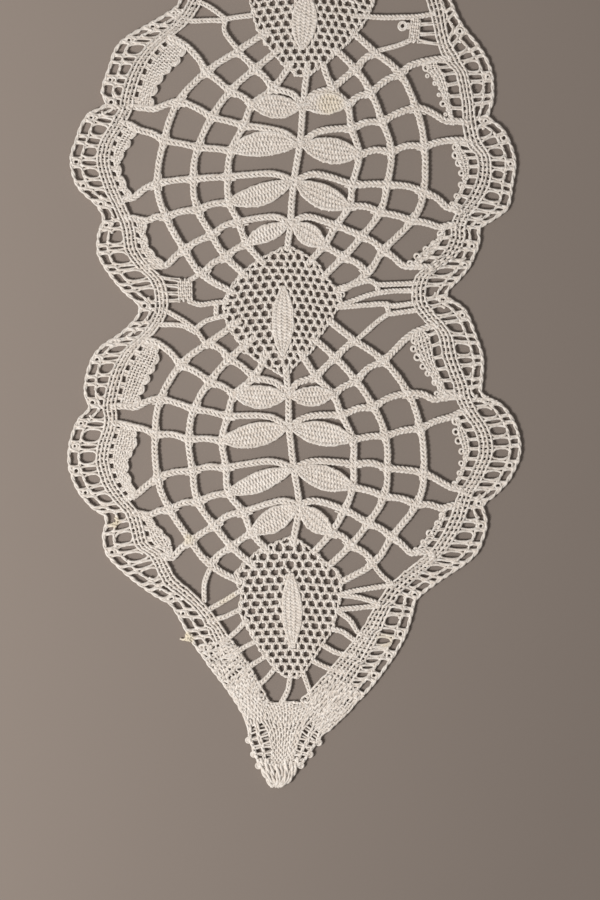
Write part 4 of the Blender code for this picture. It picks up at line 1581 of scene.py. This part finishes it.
def fan_front(crossings, border):
    """The turnings at the front of each fan: solid bumps on the left side, ring picots on the right."""
    fans = []
    for before, here in zip(crossings, crossings[1:]):
        if here.fan and not before.fan:
            fans.append([])
        if here.fan:
            fans[-1].append((here.front, fan_places(here, border, 2)[0], here.hole))
    found = []
    for order, fan in enumerate(fans):
        fronts, cloth_starts, holes = ([*column] for column in zip(*fan))
        count = round(distances(fronts)[-1] / border.turning_pitch)
        open_front = max(holes) > border.fan_hole + 0.1
        for number in range(count):
            share = (number + 0.5) / count
            front = at_share(fronts, share)
            onward = unit(at_share(fronts, share + NEARBY) - at_share(fronts, share - NEARBY))
            into = facing(Vector((-onward.y, onward.x)), at_share(cloth_starts, share) - front)
            if border.name == "left":
                size = chance.uniform(*BUMP_RANGE) * BUMP_SIZES[order % len(FANS)]
                found += bump_loops(front, onward, into, size)
            else:
                size = PICOT_SIZE * chance.uniform(*PICOT_RANGE) * (PICOT_FIRST - PICOT_FALL * share)
                if open_front and number % SUNK_ROW:
                    size *= SUNK
                found.append(ring_at(nudged(front + into * (size + PICOT_OUT), PICOT_CHANCE), size))
    return found


print(BUMP_TURNS + 1, "places to a loop of a bump")

# %% [markdown]
# With all its lines charted, each border is spun from seven kinds of thread and joined into one piece.

# %% The two finished borders
WORKER, PASSIVE, DENSE, RUNG = (laid_kind(radius, 1) for radius in (0.205, 0.25, 0.31, 0.28))
PICOT = laid_kind(0.25, 2)
EDGE = plait_kind(0.17, 0.06, radius=0.26, cycle=3.6, step=0.38)
SECOND = plait_kind(0.12, 0.06, radius=0.22, cycle=3.0, step=0.4)
for border in BORDERS:
    crossings = border_crossings(border)
    rows, passives, close = border_rows(crossings, border)
    rungs, second = border_rungs(crossings, border)
    fronts = fan_front(crossings, border)
    print(border.name, "border:", len(rows), "worker threads,", len(rungs), "threads in rungs")
    make_piece(
        border.name + "_border",
        spun("workers", rows, **WORKER),
        spun("passives", passives, **PASSIVE),
        spun("close_stretch", close, **DENSE),
        spun("rungs", rungs, **RUNG),
        spun("fronts", fronts, **PICOT),
        spun("second_line", [second], Seed=6, **SECOND),
        spun("edge_line", [[here.edge for here in crossings]], Seed=6, **EDGE),
    )

# %% [markdown]
# ## The tip
#
# At the point both borders close together. Their passives fan in, are woven across once more, and are
# gathered into a bundle that is bound off. The table gives six places from the left edge to the right at
# each of eight heights: the edge, the side of the close cloth, the two ends of the floor of the V, and then
# the same for the right side.

# %% The chart of the tip
Gather = namedtuple("Gather", "left cloth_left floor_left floor_right cloth_right right")
GATHERS = (
    Gather((-13.2, -59.6), (-9.0, -57.6), (-6.1, -62.9), (3.7, -62.9), (7.4, -57.2), (14.2, -61.2)),
    Gather((-11.6, -62.0), (-7.8, -60.6), (-5.4, -63.9), (3.1, -63.9), (5.8, -60.9), (11.4, -64.6)),
    Gather((-9.9, -64.6), (-6.4, -63.8), (-4.6, -65.1), (2.4, -65.2), (4.4, -63.9), (8.4, -67.3)),
    Gather((-8.9, -68.3), (-5.2, -67.0), (-4.0, -67.6), (1.4, -67.7), (2.6, -66.9), (5.7, -69.6)),
    Gather((-8.4, -70.9), (-4.6, -69.8), (-3.7, -70.0), (0.7, -70.0), (1.4, -69.8), (4.8, -71.2)),
    Gather((-7.6, -72.9), (-4.1, -72.3), (-3.5, -72.4), (0.1, -72.4), (0.6, -72.3), (3.5, -72.9)),
    Gather((-7.0, -74.6), (-4.0, -74.4), (-3.4, -74.4), (-0.4, -74.4), (0.0, -74.4), (2.5, -74.4)),
    Gather((-6.3, -76.0), (-4.3, -76.2), (-3.6, -76.3), (-1.0, -76.3), (-0.6, -76.2), (1.0, -75.8)),
)
GATHER_SHARES = (0.0, 0.27, 0.34, 0.66, 0.73, 1.0)
Bundle = namedtuple("Bundle", "up left right")
BUNDLE = (
    Bundle(-73.9, -6.3, 1.2),
    Bundle(-75.8, -6.1, 0.8),
    Bundle(-77.4, -5.6, 0.3),
    Bundle(-78.7, -4.9, -0.8),
    Bundle(-79.3, -4.45, -1.9),
    Bundle(-79.75, -3.95, -2.85),
)
SIDE_SHARE = GATHER_SHARES[1]
SIDE_WARPS = (0.0, 0.02, 0.125, 0.15)
CLOTH_WARPS = 13
GATHERED = [*SIDE_WARPS]
GATHERED += [SIDE_SHARE + (1 - 2 * SIDE_SHARE) * warp / (CLOTH_WARPS - 1) for warp in range(CLOTH_WARPS)]
GATHERED += [1 - across for across in reversed(SIDE_WARPS)]
GATHERED_FROM, GATHERED_BY = 0.36, 0.5
EXTRA_BY = 0.42
TIP_PASSES = 30
TIP_GROUP = 3
TIP_GROUPS_FROM = 15
TIP_CLOSE = 0.5
TIP_CHANCE = 0.07
FLOOR_CHANCE = 2.2


def tip_place(across, down):
    """The place at a share across and a share down the table of gathers."""
    at = down * (len(GATHERS) - 1)
    places = [between([*map(Vector, gathered)], at) for gathered in zip(*GATHERS)]
    column = max(number for number in range(len(places) - 1) if across >= GATHER_SHARES[number])
    before, after = GATHER_SHARES[column : column + 2]
    place = places[column].lerp(places[column + 1], (across - before) / (after - before))
    return on_table(*place)


def warp_at(number, down):
    """The share across of a warp: spread evenly at first, and gathered into lines further down."""
    spread = number / (len(GATHERED) - 1)
    if number % 1:
        return spread
    amount = held((down - GATHERED_FROM) / (GATHERED_BY - GATHERED_FROM))
    return spread + (GATHERED[number] - spread) * amount


print(len(GATHERED), "warps in the tip")

# %% [markdown]
# In the middle every pass is woven close. Beside that cloth the passes go on in groups drawn together
# between gathered warps, so that two columns of holes run down each side. The warps all end in the bundle,
# which lies on top.

# %% The bound tip
wefts, bundle = [], []
warps = {number / 2 if number % 2 else number // 2: [] for number in range(2 * len(GATHERED) - 1)}
for step in range(TIP_PASSES):
    down = step / (TIP_PASSES - 1)
    group = (step // TIP_GROUP + 0.5) * TIP_GROUP - 0.5
    grouped = step >= TIP_GROUPS_FROM
    weft = []
    woven_here = [number for number in warps if down < EXTRA_BY or number % 1 == 0]
    for order, number in enumerate(woven_here):
        across = warp_at(number, down)
        over = CLOTH_HEIGHT * (-1) ** (step + order)
        place = nudged(tip_place(across, down), TIP_CHANCE * (FLOOR_CHANCE if step < 3 else 1))
        warps[number].append((*place, MIDDLE + 0.05 + 0.8 * over))
        if grouped and not SIDE_SHARE - 0.02 < across < 1.02 - SIDE_SHARE:
            row = group + (step - group) * TIP_CLOSE
            place = nudged(tip_place(across, min(1.0, row / (TIP_PASSES - 1))), TIP_CHANCE)
        weft.append((*place, MIDDLE - 0.05 - over))
    wefts.append(weft)
BUNDLE_LINES, BUNDLE_STEPS = 8, 9
BUNDLE_LATEST, BUNDLE_SWAY, BUNDLE_LIFT, BUNDLE_CHANCE = 0.16, 0.12, 0.2, 0.05
TIP_BUMPS, TIP_BUMP_OUT = (0.56, 0.28, 0.1), 0.3
for number in range(BUNDLE_LINES):
    across = number / (BUNDLE_LINES - 1)
    begun = chance.uniform(0.0, BUNDLE_LATEST)
    line = []
    for step in range(BUNDLE_STEPS):
        down = begun + (1 - begun) * step / (BUNDLE_STEPS - 1)
        at = down * (len(BUNDLE) - 1)
        index = min(int(at), len(BUNDLE) - 2)
        row = row_between(BUNDLE[index], BUNDLE[index + 1], at - index)
        sway = BUNDLE_SWAY * math.sin(3.1 * down + 2.3 * number)
        place = nudged(on_table(row.left + (row.right - row.left) * across + sway, row.up), BUNDLE_CHANCE)
        lift = BUNDLE_LIFT * hump(across) * hump(min(1.0, 0.2 + down))
        line.append((*place, MIDDLE + 0.05 + lift * (1 if number % 2 else 0.3)))
    bundle.append(line)
bumps = []
for across in (0.0, 1.0):
    for group in range(TIP_GROUPS_FROM // TIP_GROUP, TIP_PASSES // TIP_GROUP, 2):
        place = tip_place(across, ((group + 0.5) * TIP_GROUP - 0.5) / (TIP_PASSES - 1))
        outwards = Vector((2 * across - 1, 0.0)) * TIP_BUMP_OUT
        bumps += [ring_at(nudged(place + outwards), size) for size in TIP_BUMPS]
core = [[(x, y, MIDDLE - 0.1) for x, y, _ in line] for line in bundle]
STRAND = plait_kind(0.22, 0.12, radius=0.32, cycle=4.0, step=0.4)
make_piece(
    "bound_tip",
    spun("tip_wefts", wefts, **laid_kind(0.22, 1)),
    spun("tip_warps", list(warps.values()), **laid_kind(0.27, 1)),
    spun("tip_bundle", bundle, Seed=8, **STRAND),
    spun("tip_core", core, **laid_kind(0.4, 2)),
    spun("tip_bumps", bumps, **laid_kind(0.21, 2)),
)

# %% [markdown]
# ## Combs, knots and the cut end
#
# Two small combs of cloth stitch fill odd corners. The cut end is finished plainly, with one straight woven
# band. One border was mended long ago, and a knot with a short tail was left there.

# %% The small woven parts
COMBS = (
    (((-22.7, 19.4), (-20.1, 19.5)), 4.4, 6, 0.45),
    (((23.6, 71.5), (25.3, 71.3)), 5.2, 7, 0.45),
    (((-20.4, 79.2), (30.6, 79.2)), 1.9, 4, 0.5),
)
COMB_HEIGHT = 0.18
TEETH = (
    ((-27.2, 22.0), (-22.5, 21.4)),
    ((-26.8, 20.4), (-22.5, 20.2)),
    ((-26.6, 18.8), (-22.5, 18.8)),
    ((-26.2, 17.3), (-22.5, 17.4)),
    ((25.2, 72.5), (28.9, 72.7)),
    ((25.2, 70.6), (29.6, 70.8)),
    ((25.2, 69.2), (30.6, 68.4)),
)
TOOTH_FLARES = (0.32, 0.32)
COMB_PICOTS = ((22.0, 0.85), (22.0, 0.55), (23.1, 0.5), (23.3, 0.2))
COMB_PICOTS_UP = 72.2
KNOT, KNOT_TURNS = (-20.7, -50.0), 26
KNOT_TAIL = (((-21.9, -50.4), 0.4), ((-22.5, -50.2), 0.25))
small_threads = []
for ends, width, passives, pitch in COMBS:
    line = walked(placed(ends))
    warps, weaver = woven(line, lambda share, width=width: width, passives, pitch, COMB_HEIGHT)
    small_threads += warps + [weaver]
for tooth in TEETH:
    small_threads += rung(*placed(tooth), UP, UP, THIN_RUNG, TOOTH_FLARES)
for x, size in COMB_PICOTS:
    small_threads.append(ring_at(on_table(x, COMB_PICOTS_UP), size))
knot = []
centre = on_table(*KNOT)
for turn in range(KNOT_TURNS):
    angle = 2.4 * turn
    out = 0.3 + 0.6 * abs(math.sin(1.7 * turn))
    height = 0.45 + 0.3 * math.sin(2.1 * turn)
    knot.append((centre.x + out * math.cos(angle), centre.y + out * math.sin(angle), height))
knot += [(*on_table(*place), height) for place, height in KNOT_TAIL]
small_threads.append(knot)
make_piece("combs_and_knot", spun("small", small_threads, **laid_kind(0.22, 3)))
print("all the lace:", sum(triangles(piece) for piece in pieces), "triangles")

# %% [markdown]
# ## Handing the lace to the frame
#
# The lace is one sheet that lies on the table. Every piece rides on the one body and stands for the one
# flat solid of the frame. Seen from above the threads of all eight pieces cover 0.43 of the rectangle round
# the lace, and the rest is holes. The pieces are sorted so that the largest, the spokes, comes first, and
# the others come after it.

# %% Riding, replacing and sorting
for piece in pieces:
    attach(piece, "root")
    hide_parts("lace")
sheet, *others = sorted(pieces, key=lambda piece: piece.name != "spokes_and_links")
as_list(others)

# %% [markdown]
# ## The table, the light and the camera
#
# The lace lies on plain matt card, a little darker than the thread so that every hole reads. Its colour
# carries a painted falloff of light: lighter towards the upper left and darker towards the lower right.
# One soft lamp stands at the left and a little below, which gives each strand a short shadow on its right
# and upper side.

# %% Card
CARD_HALF = 1.5
CARD_IN_PAINTED_SHADE, CARD_IN_PAINTED_LIGHT = (0.212, 0.176, 0.153, 1.0), (0.31, 0.258, 0.225, 1.0)


def make_card():
    material, tree, shader, here = new_material("plain_card")
    broad = noise(tree, here, 14.0, 3.0)
    fine = noise(tree, here, 1800.0, 3.0)
    across, along, _ = node(tree, "ShaderNodeSeparateXYZ", {"Vector": here}).outputs
    # Painted light: the card's colour is painted lighter towards the upper left and darker towards the lower
    # right.
    towards_light = calc(tree, "SUBTRACT", calc(tree, "MULTIPLY", along, 0.5), across)
    painted_light = ranged(tree, calc(tree, "ADD", towards_light, calc(tree, "MULTIPLY", broad, 0.02)), -0.09, 0.11)
    colour = mixed(tree, painted_light, CARD_IN_PAINTED_SHADE, CARD_IN_PAINTED_LIGHT)
    bump = out_of(tree, "ShaderNodeBump", {"Height": fine, "Strength": 0.15, "Distance": BUMP_DEPTH})
    fill(shader, {"Base Color": colour, "Roughness": 0.9, "Normal": bump})
    return material


card_mesh = bpy.data.meshes.new("card")
around = ((-1, -1), (1, -1), (1, 1), (-1, 1))
card_mesh.from_pydata([(x * CARD_HALF, y * CARD_HALF, 0) for x, y in around], [], [(0, 1, 2, 3)])
card_mesh.materials.append(make_card())
card = added("card", card_mesh)
print("card laid")

# %% Lamp, sky and camera
VIEW_CENTRE = Vector((1.152, -12.59, 0.0)) * MM
VIEW_HEIGHT = 0.6
VIEW_SPAN = 0.18
SENSOR = 36.0
lamp = bpy.data.lights.new("window_lamp", "AREA")
lamp.shape = "DISK"
lamp.size = 0.22
lamp.energy = 5.15
lamp.color = (1.0, 0.98, 0.95)
lamp_object = added("window_lamp", lamp, (-0.48, -0.26, 0.50))
lamp_object.rotation_euler = (VIEW_CENTRE - lamp_object.location).to_track_quat("-Z", "Y").to_euler()
world = bpy.data.worlds.new("soft_room")
world.use_nodes = True
fill(world.node_tree.nodes["Background"], {"Color": (1.0, 0.97, 0.94, 1.0), "Strength": 0.28})
bpy.context.scene.world = world
camera = bpy.data.cameras.new("above")
camera.sensor_width = SENSOR
camera.lens = SENSOR * VIEW_HEIGHT / VIEW_SPAN
camera.clip_start = 0.01
camera_object = added("above", camera, VIEW_CENTRE + Vector((0, 0, VIEW_HEIGHT)))
bpy.context.scene.camera = camera_object
bpy.context.scene.view_settings.view_transform = "Standard"
print("camera", round(camera.lens, 1), "mm at", [round(value, 4) for value in camera_object.location])
